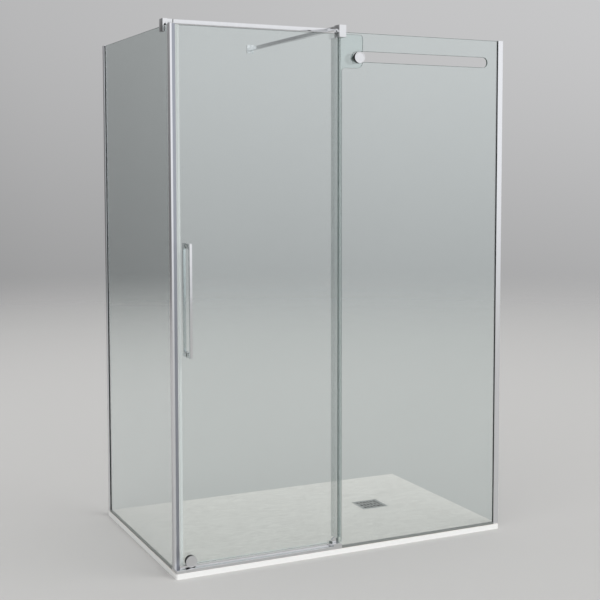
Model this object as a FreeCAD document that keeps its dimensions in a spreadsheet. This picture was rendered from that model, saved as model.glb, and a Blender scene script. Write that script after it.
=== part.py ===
import FreeCAD, Part
import os
import re
import Sketcher

# Corner shower enclosure: a low tray, a fixed side pane, a fixed front pane and a glass door that slides
# behind the front pane. The walls stand on the right and behind. Millimetres, X to the right, Y towards
# the back wall, Z up. The origin is the centre of the tray's underside.

doc = FreeCAD.newDocument("CornerShower")
sizes = doc.addObject("Spreadsheet::Sheet", "Sizes")
nodes = []

# Every size of the enclosure, written once, by piece.
tray_sizes = {
    "tray_length": 1400, "tray_depth": 900, "tray_height": 20, "tray_corner": 6, "tray_edge": 1,
    "fall_border": 62, "fall_depth": 6, "drain_from_right": 334, "drain_from_back": 392,
    "waste_diameter": 90,
}
grate_sizes = {
    "grate_side": 118, "grate_gap": 1, "grate_skirt": 8, "grate_sheet": 2, "grate_corner": 2,
    "grate_slot_length": 24, "grate_slot_width": 8, "grate_slot_pitch": 16, "grate_row_pitch": 32,
    "grate_slots_in_row": 6, "grate_rows": 3,
}
glass_sizes = {
    "glass_thickness": 8, "glass_top": 2000, "glass_arris": 0.8, "side_inset": 6, "front_inset": 8,
    "fixed_edge_at": 660, "sill_floor": 2, "sill_wall": 3, "sill_height": 8,
}
channel_sizes = {
    "channel_width": 16, "channel_reach": 22, "channel_wall": 1.6, "channel_cap": 1.5,
    "glass_to_web": 6, "gasket_depth": 12, "wall_screw_hole": 5.5, "wall_screw_margin": 150,
    "wall_screw_inner_pair": 560,
}
profile_sizes = {
    "profile_at": 2, "profile_front": 26, "profile_width": 21, "profile_depth": 26, "profile_nose": 8.5,
    "profile_step": 5, "profile_cap": 1.5, "glue_gap": 0.25, "profile_bed": 10, "magnet_width": 10,
    "magnet_depth": 3, "magnet_proud": 0.4,
}
bar_sizes = {
    "bar_size": 16, "bar_wall": 1.5, "bar_corner": 1.5, "bar_lift": 9, "bar_behind": 104,
    "spigot_gap": 0.1, "spigot_length": 14, "plug_length": 12, "joint_gap": 3,
}
clamp_sizes = {
    "clamp_grip": 21, "clamp_pad": 1, "clamp_corner": 1, "corner_jaw": 4, "corner_clamp_depth": 40,
    "corner_relief": 5.5, "corner_stub": 23, "panel_clamp_width": 29, "panel_clamp_lead": 6.5,
    "panel_front_jaw": 16, "panel_rear_jaw": 13, "panel_cover": 3, "clamp_screw_radius": 2.5,
    "clamp_screw_up": 10, "clamp_screw_spread": 14,
}
brace_fixing_sizes = {
    "flange_width": 32, "flange_height": 38, "flange_thickness": 6, "flange_corner": 3,
    "flange_hole_radius": 2.2, "flange_hole_spacing": 27, "tie_screw_radius": 2.5,
    "tie_head_radius": 4.5, "tie_head_height": 2.5,
}
rail_sizes = {
    "rail_inset": 1.5, "rail_depth": 44, "rail_height": 12, "rail_edge": 1, "ridge_width": 4,
    "ridge_height": 5.7, "end_block_depth": 52.5, "dowel_radius": 1.5, "dowel_length": 20,
    "dowel_in": 12,
}
door_sizes = {
    "door_edge_at": 30, "door_overlap": 26, "door_gap": 18, "door_top_drop": 4, "ear_reach": 56,
    "ear_margin": 34, "ear_lip": 38, "ear_top_corner": 12, "ear_low_corner": 26, "ear_root_corner": 15,
    "wiper_gap": 1.5, "wiper_foot": 4, "wiper_leg": 4, "seal_wall": 1, "seal_leg": 8, "seal_nose": 6,
    "clip_grip": 9, "fin_reach": 19, "fin_sheet": 0.8, "rub_gap": 0.3, "fin_top_gap": 1,
}
roller_sizes = {
    "roller_drop": 93, "lower_roller_in": 33, "running_gap": 0.3, "shaft_gap": 0.05, "side_gap": 0.5,
    "cap_radius": 21.5, "upper_cap_length": 16, "lower_cap_length": 9, "cap_rim": 1,
    "cap_hole_depth": 11, "lower_cap_hole_depth": 6, "collar_radius": 6,
    "stud_radius": 4, "race_radius": 11, "bearing_width": 7, "upper_tread": 15, "upper_wheel_width": 9,
    "lower_tread": 17, "lower_flange": 20, "lower_wheel_width": 10, "groove_width": 5,
    "groove_slope": 1, "rear_flange_radius": 17.5, "rear_flange_thickness": 3, "rear_flange_gap": 1,
    "hub_radius": 11, "neck_radius": 7, "bush_radius": 10, "washer_radius": 12, "washer_thickness": 1,
    "nut_radius": 12, "nut_length": 8, "nut_rim": 1.5, "thread_length": 7,
}
slot_sizes = {
    "slot_height": 40, "slot_play": 2, "slot_wall_margin": 72,
}
guide_sizes = {
    "guide_lead": 22, "guide_length": 35, "guide_front_jaw": 22, "guide_rear_jaw": 6,
    "guide_corner": 8, "glass_slot_gap": 0.3, "door_way": 1, "disc_radius": 13, "disc_length": 10,
    "disc_gap": 1, "disc_rim": 1, "disc_lift": 0.5, "mid_jaw_height": 16.5, "stem_radius": 2.5,
    "stem_in_disc": 8, "stem_in_block": 5,
}
handle_sizes = {
    "handle_in": 33.5, "handle_middle": 1012, "handle_length": 415, "handle_bar_width": 10,
    "handle_bar_depth": 12, "handle_reach": 38, "handle_edge": 1.2, "standoff_height": 20,
    "bolt_radius": 3, "bolt_in_standoff": 12, "sleeve_radius": 6,
}

sheet_groups = {
    "Tray": tray_sizes,
    "Drain grate": grate_sizes,
    "Glass panes": glass_sizes,
    "Wall channels": channel_sizes,
    "Corner profile": profile_sizes,
    "Bars": bar_sizes,
    "Clamps": clamp_sizes,
    "Brace fixings": brace_fixing_sizes,
    "Bottom rail": rail_sizes,
    "Door": door_sizes,
    "Rollers": roller_sizes,
    "Slot in the fixed pane": slot_sizes,
    "Guide block": guide_sizes,
    "Handle": handle_sizes,
}
row = 0
for title, group_sizes in sheet_groups.items():
    row += 1
    sizes.set(f"A{row}", title)
    for name, value in group_sizes.items():
        row += 1
        sizes.set(f"A{row}", name)
        sizes.set(f"B{row}", str(value))
        sizes.setAlias(f"B{row}", name)
doc.recompute()

# Places that several pieces share, as rules over the sizes.
LEFT = "(-tray_length / 2)"
RIGHT = "(tray_length / 2)"
FRONT = "(-tray_depth / 2)"
BACK = "(tray_depth / 2)"
SIDE_X = f"({LEFT} + side_inset)"
SIDE_MIDDLE_X = f"({SIDE_X} + glass_thickness / 2)"
FIXED_X = f"({LEFT} + fixed_edge_at)"
FIXED_Y = f"({FRONT} + front_inset)"
FIXED_BACK_Y = f"({FIXED_Y} + glass_thickness)"
GLASS_FOOT_Z = "(tray_height + sill_floor)"
RAIL_Y = f"({FRONT} + rail_inset)"
RAIL_TOP_Z = "(tray_height + rail_height)"
END_BLOCK_X = f"({LEFT} + rail_inset)"
PROFILE_X = f"({LEFT} + profile_at)"
PROFILE_Y = f"({FRONT} + profile_front)"
PROFILE_RIGHT_X = f"({PROFILE_X} + profile_width)"
GUIDE_X = f"({FIXED_X} - guide_lead)"
GUIDE_END_X = f"({GUIDE_X} + guide_length)"
DOOR_X = f"({LEFT} + door_edge_at)"
DOOR_Y = f"({FIXED_BACK_Y} + door_gap)"
DOOR_BACK_Y = f"({DOOR_Y} + glass_thickness)"
DOOR_Z = f"({RAIL_TOP_Z} + wiper_gap + wiper_foot)"
DOOR_TOP_Z = "(glass_top - door_top_drop)"
DOOR_WIDTH = "(fixed_edge_at + door_overlap - door_edge_at)"
UPPER_X = f"({DOOR_X} + {DOOR_WIDTH} + ear_reach)"
UPPER_Z = "(glass_top - roller_drop)"
LOWER_X = f"({DOOR_X} + lower_roller_in)"
LOWER_Z = f"({RAIL_TOP_Z} + ridge_height + running_gap + lower_tread)"
LOWER_WHEEL_Y = f"({DOOR_Y} - washer_thickness - side_gap - lower_wheel_width)"
UPPER_WHEEL_Y = f"({FIXED_Y} + glass_thickness / 2 - upper_wheel_width / 2)"
BAR_Z = "(glass_top + bar_lift)"
BAR_Y = f"({FRONT} + front_inset + bar_behind)"
BRACE_X = f"({FIXED_X} - panel_clamp_lead + panel_clamp_width / 2 - bar_size / 2)"
CLAMP_Z = "(glass_top - clamp_grip)"
CLAMP_HEIGHT = "(clamp_grip + bar_lift + bar_size)"
CLAMP_SLOT = "(glass_thickness + 2 * clamp_pad)"
SPIGOT = "(bar_size - 2 * bar_wall - 2 * spigot_gap)"
HANDLE_X = f"({DOOR_X} + handle_in - handle_bar_width / 2)"
HANDLE_Z = "(handle_middle - handle_length / 2)"
STANDOFF_LENGTH = "(handle_reach - handle_bar_depth - washer_thickness)"


def rule(text):
    """Point every plain word of a rule at its cell in the sheet."""
    return re.sub(r"\b([a-z]\w*)\b(?!\()", r"Sizes.\1", text)


def measure(text):
    """The number that a rule gives now."""
    return float(doc.Sizes.evalExpression(rule(text)))


def bind(thing, **rules):
    for path, text in rules.items():
        thing.setExpression(path, rule(text))


def place(thing, x, y, z):
    for axis, text in zip("xyz", (x, y, z)):
        thing.setExpression(f"Placement.Base.{axis}", rule(text))


def finish(thing):
    """Make a piece one of the nodes, under its own label."""
    thing.Label = thing.Name
    nodes.append(thing)
    return thing


def new_body(name, x, y, z, turn=0):
    body = doc.addObject("PartDesign::Body", name)
    body.Placement.Rotation = FreeCAD.Rotation(FreeCAD.Vector(0, 0, 1), turn)
    place(body, x, y, z)
    return finish(body)


def new_sketch(body, plane, lift="0"):
    """A sketch on one of the body's own planes, lifted along that plane's normal."""
    sketch = body.newObject("Sketcher::SketchObject", f"{body.Name}_sketch")
    base = next(item for item in body.Origin.OriginFeatures if item.Role == plane)
    sketch.AttachmentSupport = [(base, "")]
    sketch.MapMode = "FlatFace"
    if lift != "0":
        sketch.setExpression("AttachmentOffset.Base.z", rule(lift))
    return sketch


def pin_point(sketch, edge, end, across, up):
    """Hold one point of a sketch at a rule across and a rule up."""
    for kind, text, axis in (("DistanceX", across, -2), ("DistanceY", up, -1)):
        if text == "0":
            sketch.addConstraint(Sketcher.Constraint("PointOnObject", edge, end, axis))
        else:
            index = sketch.addConstraint(Sketcher.Constraint(kind, -1, 1, edge, end, measure(text)))
            sketch.setExpression(f"Constraints[{index}]", rule(text))


def draw_polygon(sketch, corners):
    spots = [FreeCAD.Vector(measure(across), measure(up), 0) for across, up in corners]
    first = sketch.GeometryCount
    for index, spot in enumerate(spots):
        sketch.addGeometry(Part.LineSegment(spot, spots[(index + 1) % len(spots)]), False)
    for index in range(len(spots)):
        after = first + (index + 1) % len(spots)
        sketch.addConstraint(Sketcher.Constraint("Coincident", first + index, 2, after, 1))
    for index, (across, up) in enumerate(corners):
        pin_point(sketch, first + index, 1, across, up)
    return sketch


def draw_box(sketch, left, right, low, high):
    return draw_polygon(sketch, [(left, low), (right, low), (right, high), (left, high)])


def draw_circle(sketch, across, up, radius):
    centre = FreeCAD.Vector(measure(across), measure(up), 0)
    edge = sketch.addGeometry(Part.Circle(centre, FreeCAD.Vector(0, 0, 1), measure(radius)), False)
    pin_point(sketch, edge, 3, across, up)
    index = sketch.addConstraint(Sketcher.Constraint("Radius", edge, measure(radius)))
    sketch.setExpression(f"Constraints[{index}]", rule(radius))
    return sketch


def pad(body, sketch, length, reverse=False):
    made = body.newObject("PartDesign::Pad", f"{body.Name}_pad")
    made.Profile = sketch
    made.Reversed = reverse
    bind(made, Length=length)
    doc.recompute()
    return made


def pocket(body, sketch, length, reverse=False):
    """Cut a pocket, and make sure that it took something away."""
    before = body.Shape.Volume
    made = body.newObject("PartDesign::Pocket", f"{body.Name}_pocket")
    made.Profile = sketch
    made.Reversed = reverse
    bind(made, Length=length)
    doc.recompute()
    if not body.Shape.Volume < before:
        raise RuntimeError(f"{made.Name} cut nothing")
    return made


def round_edges(body, chosen, radius, kind="Fillet", path="Radius"):
    """Round or bevel the edges of the body's tip whose middle and direction pass the test."""
    base = body.Tip
    names = []
    for index, edge in enumerate(base.Shape.Edges):
        middle = edge.valueAt((edge.FirstParameter + edge.LastParameter) / 2)
        if chosen(edge, middle):
            names.append(f"Edge{index + 1}")
    made = body.newObject(f"PartDesign::{kind}", f"{body.Name}_{kind.lower()}")
    made.Base = (base, names)
    bind(made, **{path: radius})
    doc.recompute()
    return made


def runs_along(edge, axis):
    """True for a straight edge that runs along X, Y or Z."""
    if edge.Curve.TypeId != "Part::GeomLine":
        return False
    step = edge.Vertexes[-1].Point - edge.Vertexes[0].Point
    return abs(step["xyz".index(axis)]) > step.Length * 0.999


def extruded(name, plane, corners, length, x, y, z, turn=0):
    """A body whose outline is pushed towards +X, +Y or +Z."""
    body = new_body(name, x, y, z, turn)
    pad(body, draw_polygon(new_sketch(body, plane), corners), length, reverse=plane == "XZ_Plane")
    return body


def turned(name, corners, x, y, z):
    """A body turned about its own Y axis, from corners given as a radius and a place along Y."""
    body = new_body(name, x, y, z)
    sketch = draw_polygon(new_sketch(body, "XY_Plane"), corners)
    made = body.newObject("PartDesign::Revolution", f"{name}_turn")
    made.Profile = sketch
    made.ReferenceAxis = (sketch, ["V_Axis"])
    made.Angle = 360
    doc.recompute()
    return body


def block(name, length, width, height, x, y, z):
    made = doc.addObject("Part::Box", name)
    bind(made, Length=length, Width=width, Height=height)
    place(made, x, y, z)
    return made


def rod(name, radius, length, x, y, z, along):
    """A cylinder that runs from the given place along +X, +Y or +Z."""
    made = doc.addObject("Part::Cylinder", name)
    turns = {"x": ((0, 1, 0), 90), "y": ((1, 0, 0), -90), "z": ((0, 0, 1), 0)}
    axis, angle = turns[along]
    made.Placement.Rotation = FreeCAD.Rotation(FreeCAD.Vector(*axis), angle)
    bind(made, Radius=radius, Height=length)
    place(made, x, y, z)
    return made


def cut(name, base, tool):
    made = doc.addObject("Part::Cut", name)
    made.Base = base
    made.Tool = tool
    return made


def group(name, pieces):
    """Separate solids that share one node."""
    made = doc.addObject("Part::Compound", name)
    made.Links = pieces
    return finish(made)


# Shower tray of cast mineral resin. Its floor falls from a flat border to the drain, where a square
# recess holds the grate over the waste hole.
tray = extruded("shower_tray", "XY_Plane",
                [(LEFT, FRONT), (RIGHT, FRONT), (RIGHT, BACK), (LEFT, BACK)], "tray_height", "0", "0", "0")
round_edges(tray, lambda edge, middle: runs_along(edge, "z"), "tray_corner")
tray_top = measure("tray_height")
round_edges(tray, lambda edge, middle: abs(middle.z - tray_top) < 0.01, "tray_edge")
DRAIN_X = "(tray_length / 2 - drain_from_right)"
DRAIN_Y = "(tray_depth / 2 - drain_from_back)"
RECESS_HALF = "(grate_side / 2 + grate_gap)"
fall_rim = draw_box(new_sketch(tray, "XY_Plane", "tray_height"), f"{LEFT} + fall_border",
                    f"{RIGHT} - fall_border", f"{FRONT} + fall_border", f"{BACK} - fall_border")
fall_foot = draw_box(new_sketch(tray, "XY_Plane", "tray_height - fall_depth"),
                     f"{DRAIN_X} - {RECESS_HALF}", f"{DRAIN_X} + {RECESS_HALF}",
                     f"{DRAIN_Y} - {RECESS_HALF}", f"{DRAIN_Y} + {RECESS_HALF}")
fall = tray.newObject("PartDesign::SubtractiveLoft", "shower_tray_fall")
fall.Profile = fall_rim
fall.Sections = [fall_foot]
fall.Ruled = True
doc.recompute()
recess = draw_box(new_sketch(tray, "XY_Plane", "tray_height - fall_depth"),
                  f"{DRAIN_X} - {RECESS_HALF}", f"{DRAIN_X} + {RECESS_HALF}",
                  f"{DRAIN_Y} - {RECESS_HALF}", f"{DRAIN_Y} + {RECESS_HALF}")
pocket(tray, recess, "grate_skirt")
pocket(tray, draw_circle(new_sketch(tray, "XY_Plane", "tray_height"), DRAIN_X, DRAIN_Y,
                         "waste_diameter / 2"), "tray_height")

# Drain grate: a folded stainless steel plate on a skirt that stands in the recess, with rows of slots.
GRATE_Z = "(tray_height - fall_depth - grate_skirt)"
HALF = "grate_side / 2"
grate = extruded("drain_grate", "XY_Plane",
                 [(f"-{HALF}", f"-{HALF}"), (HALF, f"-{HALF}"), (HALF, HALF), (f"-{HALF}", HALF)],
                 "grate_skirt", DRAIN_X, DRAIN_Y, GRATE_Z)
round_edges(grate, lambda edge, middle: runs_along(edge, "z"), "grate_corner")
INNER = "(grate_side / 2 - grate_sheet)"
pocket(grate, draw_box(new_sketch(grate, "XY_Plane"), f"-{INNER}", INNER, f"-{INNER}", INNER),
       "grate_skirt - grate_sheet", reverse=True)
row_count = int(measure("grate_rows"))
for row in range(row_count):
    middle_y = f"({row} - (grate_rows - 1) / 2) * grate_row_pitch"
    first_x = "(-(grate_slots_in_row - 1) / 2 * grate_slot_pitch)"
    slot = pocket(grate, draw_box(new_sketch(grate, "XY_Plane", "grate_skirt"),
                                  f"{first_x} - grate_slot_width / 2", f"{first_x} + grate_slot_width / 2",
                                  f"{middle_y} - grate_slot_length / 2",
                                  f"{middle_y} + grate_slot_length / 2"), "grate_sheet")
    copies = grate.newObject("PartDesign::LinearPattern", f"drain_grate_row_{row}")
    copies.Originals = [slot]
    copies.Direction = (slot.Profile[0], ["H_Axis"])
    bind(copies, Length="(grate_slots_in_row - 1) * grate_slot_pitch", Occurrences="grate_slots_in_row")
    grate.Tip = copies
    doc.recompute()


def pane(name, x, y, corners, z, plane):
    """Toughened glass cut to an outline, with its long edges still sharp."""
    return extruded(name, plane, corners, "glass_thickness", x, y, z)


def arris(body, axis, low, high):
    """Bevel both faces' edges of a pane, where axis is the letter of its thickness."""
    faces = (measure(low), measure(high))

    def on_a_face(edge, middle):
        place_now = getattr(middle, axis)
        return min(abs(place_now - face) for face in faces) < 0.01 and not runs_along(edge, axis)

    round_edges(body, on_a_face, "glass_arris", "Chamfer", "Size")


# Side pane: from the bed in the corner profile to the channel on the back wall.
SIDE_GLASS_Y = f"({PROFILE_Y} + profile_bed + glue_gap)"
SIDE_GLASS_LENGTH = f"({BACK} - channel_wall - glass_to_web - {SIDE_GLASS_Y})"
GLASS_HEIGHT = f"(glass_top - {GLASS_FOOT_Z})"
side_glass = pane("side_glass", SIDE_X, SIDE_GLASS_Y,
                  [("0", "0"), (SIDE_GLASS_LENGTH, "0"), (SIDE_GLASS_LENGTH, GLASS_HEIGHT),
                   ("0", GLASS_HEIGHT)], GLASS_FOOT_Z, "YZ_Plane")
arris(side_glass, "x", "0", "glass_thickness")

# Fixed front pane, with the slot that the door's upper roller runs in.
FIXED_WIDTH = f"({RIGHT} - channel_wall - glass_to_web - {FIXED_X})"
fixed_glass = pane("fixed_glass", FIXED_X, FIXED_Y,
                   [("0", "0"), (FIXED_WIDTH, "0"), (FIXED_WIDTH, GLASS_HEIGHT), ("0", GLASS_HEIGHT)],
                   GLASS_FOOT_Z, "XZ_Plane")
SLOT_LOW = f"({UPPER_Z} - upper_tread - running_gap - {GLASS_FOOT_Z})"
SLOT_LEFT = f"({UPPER_X} - slot_play - {FIXED_X})"
SLOT_RIGHT = f"({RIGHT} - slot_wall_margin - slot_height / 2 - {FIXED_X})"
slot_middle = f"{SLOT_LOW} + slot_height / 2"
pocket(fixed_glass, draw_box(new_sketch(fixed_glass, "XZ_Plane"), SLOT_LEFT, SLOT_RIGHT, SLOT_LOW,
                             f"{SLOT_LOW} + slot_height"), "glass_thickness")
for slot_end in (SLOT_LEFT, SLOT_RIGHT):
    pocket(fixed_glass, draw_circle(new_sketch(fixed_glass, "XZ_Plane"), slot_end, slot_middle,
                                    "slot_height / 2"), "glass_thickness")
arris(fixed_glass, "y", "0", "glass_thickness")

# Door pane: a plain leaf with an ear at its top right, which reaches over the fixed pane to the roller.
# It is drilled for the two rollers and for the two handle bolts.
EAR_LOW = f"({UPPER_Z} - ear_lip - {DOOR_Z})"
EAR_RIGHT = f"({DOOR_WIDTH} + ear_reach + ear_margin)"
DOOR_HEIGHT = f"({DOOR_TOP_Z} - {DOOR_Z})"
door_glass = pane("door_glass", DOOR_X, DOOR_Y,
                  [("0", "0"), (DOOR_WIDTH, "0"), (DOOR_WIDTH, EAR_LOW), (EAR_RIGHT, EAR_LOW),
                   (EAR_RIGHT, DOOR_HEIGHT), ("0", DOOR_HEIGHT)], DOOR_Z, "XZ_Plane")
door_width_now = measure(DOOR_WIDTH)
ear_low_now = measure(EAR_LOW)
ear_right_now = measure(EAR_RIGHT)
door_height_now = measure(DOOR_HEIGHT)


def corner_at(x, z):
    def test(edge, middle):
        return runs_along(edge, "y") and abs(middle.x - x) < 0.01 and abs(middle.z - z) < 0.01
    return test


round_edges(door_glass, corner_at(ear_right_now, ear_low_now), "ear_low_corner")
round_edges(door_glass, corner_at(door_width_now, ear_low_now), "ear_root_corner")
round_edges(door_glass, corner_at(ear_right_now, door_height_now), "ear_top_corner")
handle_bolt_z = [f"{HANDLE_Z} + standoff_height / 2", f"{HANDLE_Z} + handle_length - standoff_height / 2"]
door_holes = [(f"{DOOR_WIDTH} + ear_reach", f"{UPPER_Z} - {DOOR_Z}", "bush_radius"),
              ("lower_roller_in", f"{LOWER_Z} - {DOOR_Z}", "bush_radius")]
door_holes += [("handle_in", f"{height} - {DOOR_Z}", "sleeve_radius") for height in handle_bolt_z]
for across, up, radius in door_holes:
    pocket(door_glass, draw_circle(new_sketch(door_glass, "XZ_Plane"), across, up, radius),
           "glass_thickness")
arris(door_glass, "y", "0", "glass_thickness")


# Wall channels: a U of satin aluminium on each wall, with a wedge gasket on both sides of the glass and
# a cap on top. The web is drilled for the screws into the wall.
def wall_channel(prefix, x, y, turn):
    height = "(glass_top - tray_height)"
    outline = [("0", "0"), ("channel_reach", "0"), ("channel_reach", "channel_width"),
               ("0", "channel_width"), ("0", "channel_width - channel_wall"),
               ("channel_reach - channel_wall", "channel_width - channel_wall"),
               ("channel_reach - channel_wall", "channel_wall"), ("0", "channel_wall")]
    channel = extruded(f"{prefix}_wall_channel", "XY_Plane", outline, height, x, y, "tray_height", turn)
    inner_pair = [f"{height} / 2 {sign} wall_screw_inner_pair / 2" for sign in "-+"]
    for up in ["wall_screw_margin", f"{height} - wall_screw_margin"] + inner_pair:
        pocket(channel, draw_circle(new_sketch(channel, "YZ_Plane", "channel_reach"),
                                    "channel_width / 2", up, "wall_screw_hole / 2"), "channel_wall")
    wedge = "(channel_width / 2 - channel_wall - glass_thickness / 2)"
    strips = []
    for side, start in (("near", "channel_wall"), ("far", f"channel_width - channel_wall - {wedge}")):
        strips.append(block(f"{prefix}_gasket_{side}", "gasket_depth", wedge, f"{height} - sill_floor",
                            "0", start, "0"))
    gasket = group(f"{prefix}_channel_gasket", strips)
    gasket.Placement.Rotation = FreeCAD.Rotation(FreeCAD.Vector(0, 0, 1), turn)
    place(gasket, x, y, "tray_height + sill_floor")
    extruded(f"{prefix}_channel_cap", "XY_Plane", outline[:4], "channel_cap", x, y, "glass_top", turn)


wall_channel("front", f"{RIGHT} - channel_reach", f"{FIXED_Y} + glass_thickness / 2 - channel_width / 2", 0)
wall_channel("side", f"{SIDE_MIDDLE_X} + channel_width / 2", f"{BACK} - channel_reach", 90)


# Sill seals: a U of smoky grey PVC between each fixed pane and the tray.
def sill_seal(name, plane, length, x, y):
    across = "(glass_thickness + 2 * sill_wall)"
    outline = [("0", "0"), (across, "0"), (across, "sill_height"), (f"{across} - sill_wall", "sill_height"),
               (f"{across} - sill_wall", "sill_floor"), ("sill_wall", "sill_floor"),
               ("sill_wall", "sill_height"), ("0", "sill_height")]
    extruded(name, plane, outline, length, x, y, "tray_height")


END_BLOCK_BACK_Y = f"({RAIL_Y} + end_block_depth)"
sill_seal("front_sill_seal", "YZ_Plane", f"{RIGHT} - channel_reach - {GUIDE_END_X}", GUIDE_END_X,
          f"{FIXED_Y} - sill_wall")
sill_seal("side_sill_seal", "XZ_Plane", f"{BACK} - channel_reach - {END_BLOCK_BACK_Y}",
          f"{SIDE_X} - sill_wall", END_BLOCK_BACK_Y)

# Corner closing profile of aluminium: a bed for the side pane's front edge, a rounded nose, and a groove
# that faces the door and holds the magnet strip.
BED_LEFT = "(side_inset - profile_at - glue_gap)"
BED_RIGHT = "(side_inset - profile_at + glass_thickness + glue_gap)"
MAGNET_LOW = f"({DOOR_Y} + glass_thickness / 2 - magnet_width / 2 - {PROFILE_Y})"
MAGNET_HIGH = f"({MAGNET_LOW} + magnet_width)"
PROFILE_HEIGHT = f"(glass_top - {RAIL_TOP_Z})"
corner_profile = extruded("corner_profile", "XY_Plane", [
    ("0", "0"), ("profile_nose", "0"), ("profile_nose", "profile_step"), ("profile_width", "profile_step"),
    ("profile_width", MAGNET_LOW), ("profile_width - magnet_depth", MAGNET_LOW),
    ("profile_width - magnet_depth", MAGNET_HIGH), ("profile_width", MAGNET_HIGH),
    ("profile_width", "profile_depth"), (BED_RIGHT, "profile_depth"), (BED_RIGHT, "profile_bed"),
    (BED_LEFT, "profile_bed"), (BED_LEFT, "profile_depth"), ("0", "profile_depth")],
    PROFILE_HEIGHT, PROFILE_X, PROFILE_Y, RAIL_TOP_Z)
nose_now = measure("profile_nose")
round_edges(corner_profile, lambda edge, middle: runs_along(edge, "z") and middle.y < 0.01
            and middle.x < nose_now + 0.01, "profile_nose / 4")
extruded("corner_profile_cap", "XY_Plane", [
    ("0", "0"), ("profile_nose", "0"), ("profile_nose", "profile_step"), ("profile_width", "profile_step"),
    ("profile_width", "profile_depth"), ("0", "profile_depth")],
    "profile_cap", PROFILE_X, PROFILE_Y, "glass_top")
finish(block("corner_magnet_strip", "magnet_depth + magnet_proud", "magnet_width", PROFILE_HEIGHT,
             f"{PROFILE_RIGHT_X} - magnet_depth", f"{PROFILE_Y} + {MAGNET_LOW}", RAIL_TOP_Z))


# Forked clamps: an inverted U over the top edge of a pane, lined with a rubber pad.
def pad_outline(inner):
    """The rubber lining of a clamp's slot: a thin inverted U round the glass."""
    return [("0", "0"), ("clamp_pad", "0"), ("clamp_pad", "clamp_grip"),
            (f"clamp_pad + {inner}", "clamp_grip"), (f"clamp_pad + {inner}", "0"),
            (f"2 * clamp_pad + {inner}", "0"), (f"2 * clamp_pad + {inner}", "clamp_grip + clamp_pad"),
            ("0", "clamp_grip + clamp_pad")]


def fork_outline(near_jaw, far_jaw):
    whole = f"({near_jaw} + {CLAMP_SLOT} + {far_jaw})"
    slot_top = "(clamp_grip + clamp_pad)"
    return [("0", "0"), (near_jaw, "0"), (near_jaw, slot_top), (f"{near_jaw} + {CLAMP_SLOT}", slot_top),
            (f"{near_jaw} + {CLAMP_SLOT}", "0"), (whole, "0"), (whole, CLAMP_HEIGHT), ("0", CLAMP_HEIGHT)]


# Corner clamp on the side pane, with the stub and spigot that carry the top bar.
CORNER_CLAMP_X = f"({SIDE_X} - clamp_pad - corner_jaw)"
CORNER_CLAMP_WIDTH = f"(2 * corner_jaw + {CLAMP_SLOT})"
CORNER_CLAMP_Y = f"({BAR_Y} + bar_size / 2 - corner_clamp_depth / 2)"
BAR_LOW = "(clamp_grip + bar_lift)"
corner_clamp = extruded("corner_clamp", "XZ_Plane", fork_outline("corner_jaw", "corner_jaw"),
                        "corner_clamp_depth", CORNER_CLAMP_X, CORNER_CLAMP_Y, CLAMP_Z)
pocket(corner_clamp, draw_circle(new_sketch(corner_clamp, "XZ_Plane"), f"{CORNER_CLAMP_WIDTH} / 2",
                                 "clamp_grip + clamp_pad", "corner_relief"), "corner_clamp_depth")
for start, length, side in ((CORNER_CLAMP_WIDTH, "corner_stub", "bar_size"),
                            (f"{CORNER_CLAMP_WIDTH} + corner_stub", "spigot_length", SPIGOT)):
    middle_y = "corner_clamp_depth / 2"
    middle_z = f"{BAR_LOW} + bar_size / 2"
    stub = draw_box(new_sketch(corner_clamp, "YZ_Plane", start), f"{middle_y} - {side} / 2",
                    f"{middle_y} + {side} / 2", f"{middle_z} - {side} / 2", f"{middle_z} + {side} / 2")
    pad(corner_clamp, stub, length)
extruded("corner_clamp_lining", "XZ_Plane", pad_outline("glass_thickness"), "corner_clamp_depth",
         f"{SIDE_X} - clamp_pad", CORNER_CLAMP_Y, CLAMP_Z)
corner_screws = []
for index, sign in enumerate((-1, 1)):
    y = f"{CORNER_CLAMP_Y} + corner_clamp_depth / 2 + {sign} * clamp_screw_spread / 2"
    corner_screws.append(rod(f"corner_screw_{index}", "clamp_screw_radius", "corner_jaw",
                             f"{SIDE_X} + glass_thickness + clamp_pad", y,
                             f"{CLAMP_Z} + clamp_screw_up", "x"))
    pocket(corner_clamp, draw_circle(
        new_sketch(corner_clamp, "YZ_Plane", f"corner_jaw + {CLAMP_SLOT} + corner_jaw"),
        f"corner_clamp_depth / 2 + {sign} * clamp_screw_spread / 2", "clamp_screw_up",
        "clamp_screw_radius"), "corner_jaw")
group("corner_clamp_screws", corner_screws)

# Panel clamp on the fixed pane, behind a plain cover plate, with the spigot that carries the brace.
PANEL_CLAMP_X = f"({FIXED_X} - panel_clamp_lead)"
PANEL_CLAMP_Y = f"({FIXED_Y} - clamp_pad - panel_front_jaw)"
PANEL_CLAMP_DEPTH = f"(panel_front_jaw + {CLAMP_SLOT} + panel_rear_jaw)"
panel_clamp = extruded("panel_clamp", "YZ_Plane", fork_outline("panel_front_jaw", "panel_rear_jaw"),
                       "panel_clamp_width", PANEL_CLAMP_X, PANEL_CLAMP_Y, CLAMP_Z)
spigot_middle = f"{BAR_LOW} + bar_size / 2"
panel_spigot = draw_box(new_sketch(panel_clamp, "XZ_Plane", f"-{PANEL_CLAMP_DEPTH}"),
                        f"panel_clamp_width / 2 - {SPIGOT} / 2", f"panel_clamp_width / 2 + {SPIGOT} / 2",
                        f"{spigot_middle} - {SPIGOT} / 2", f"{spigot_middle} + {SPIGOT} / 2")
pad(panel_clamp, panel_spigot, "spigot_length", reverse=True)
panel_screws = []
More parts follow.
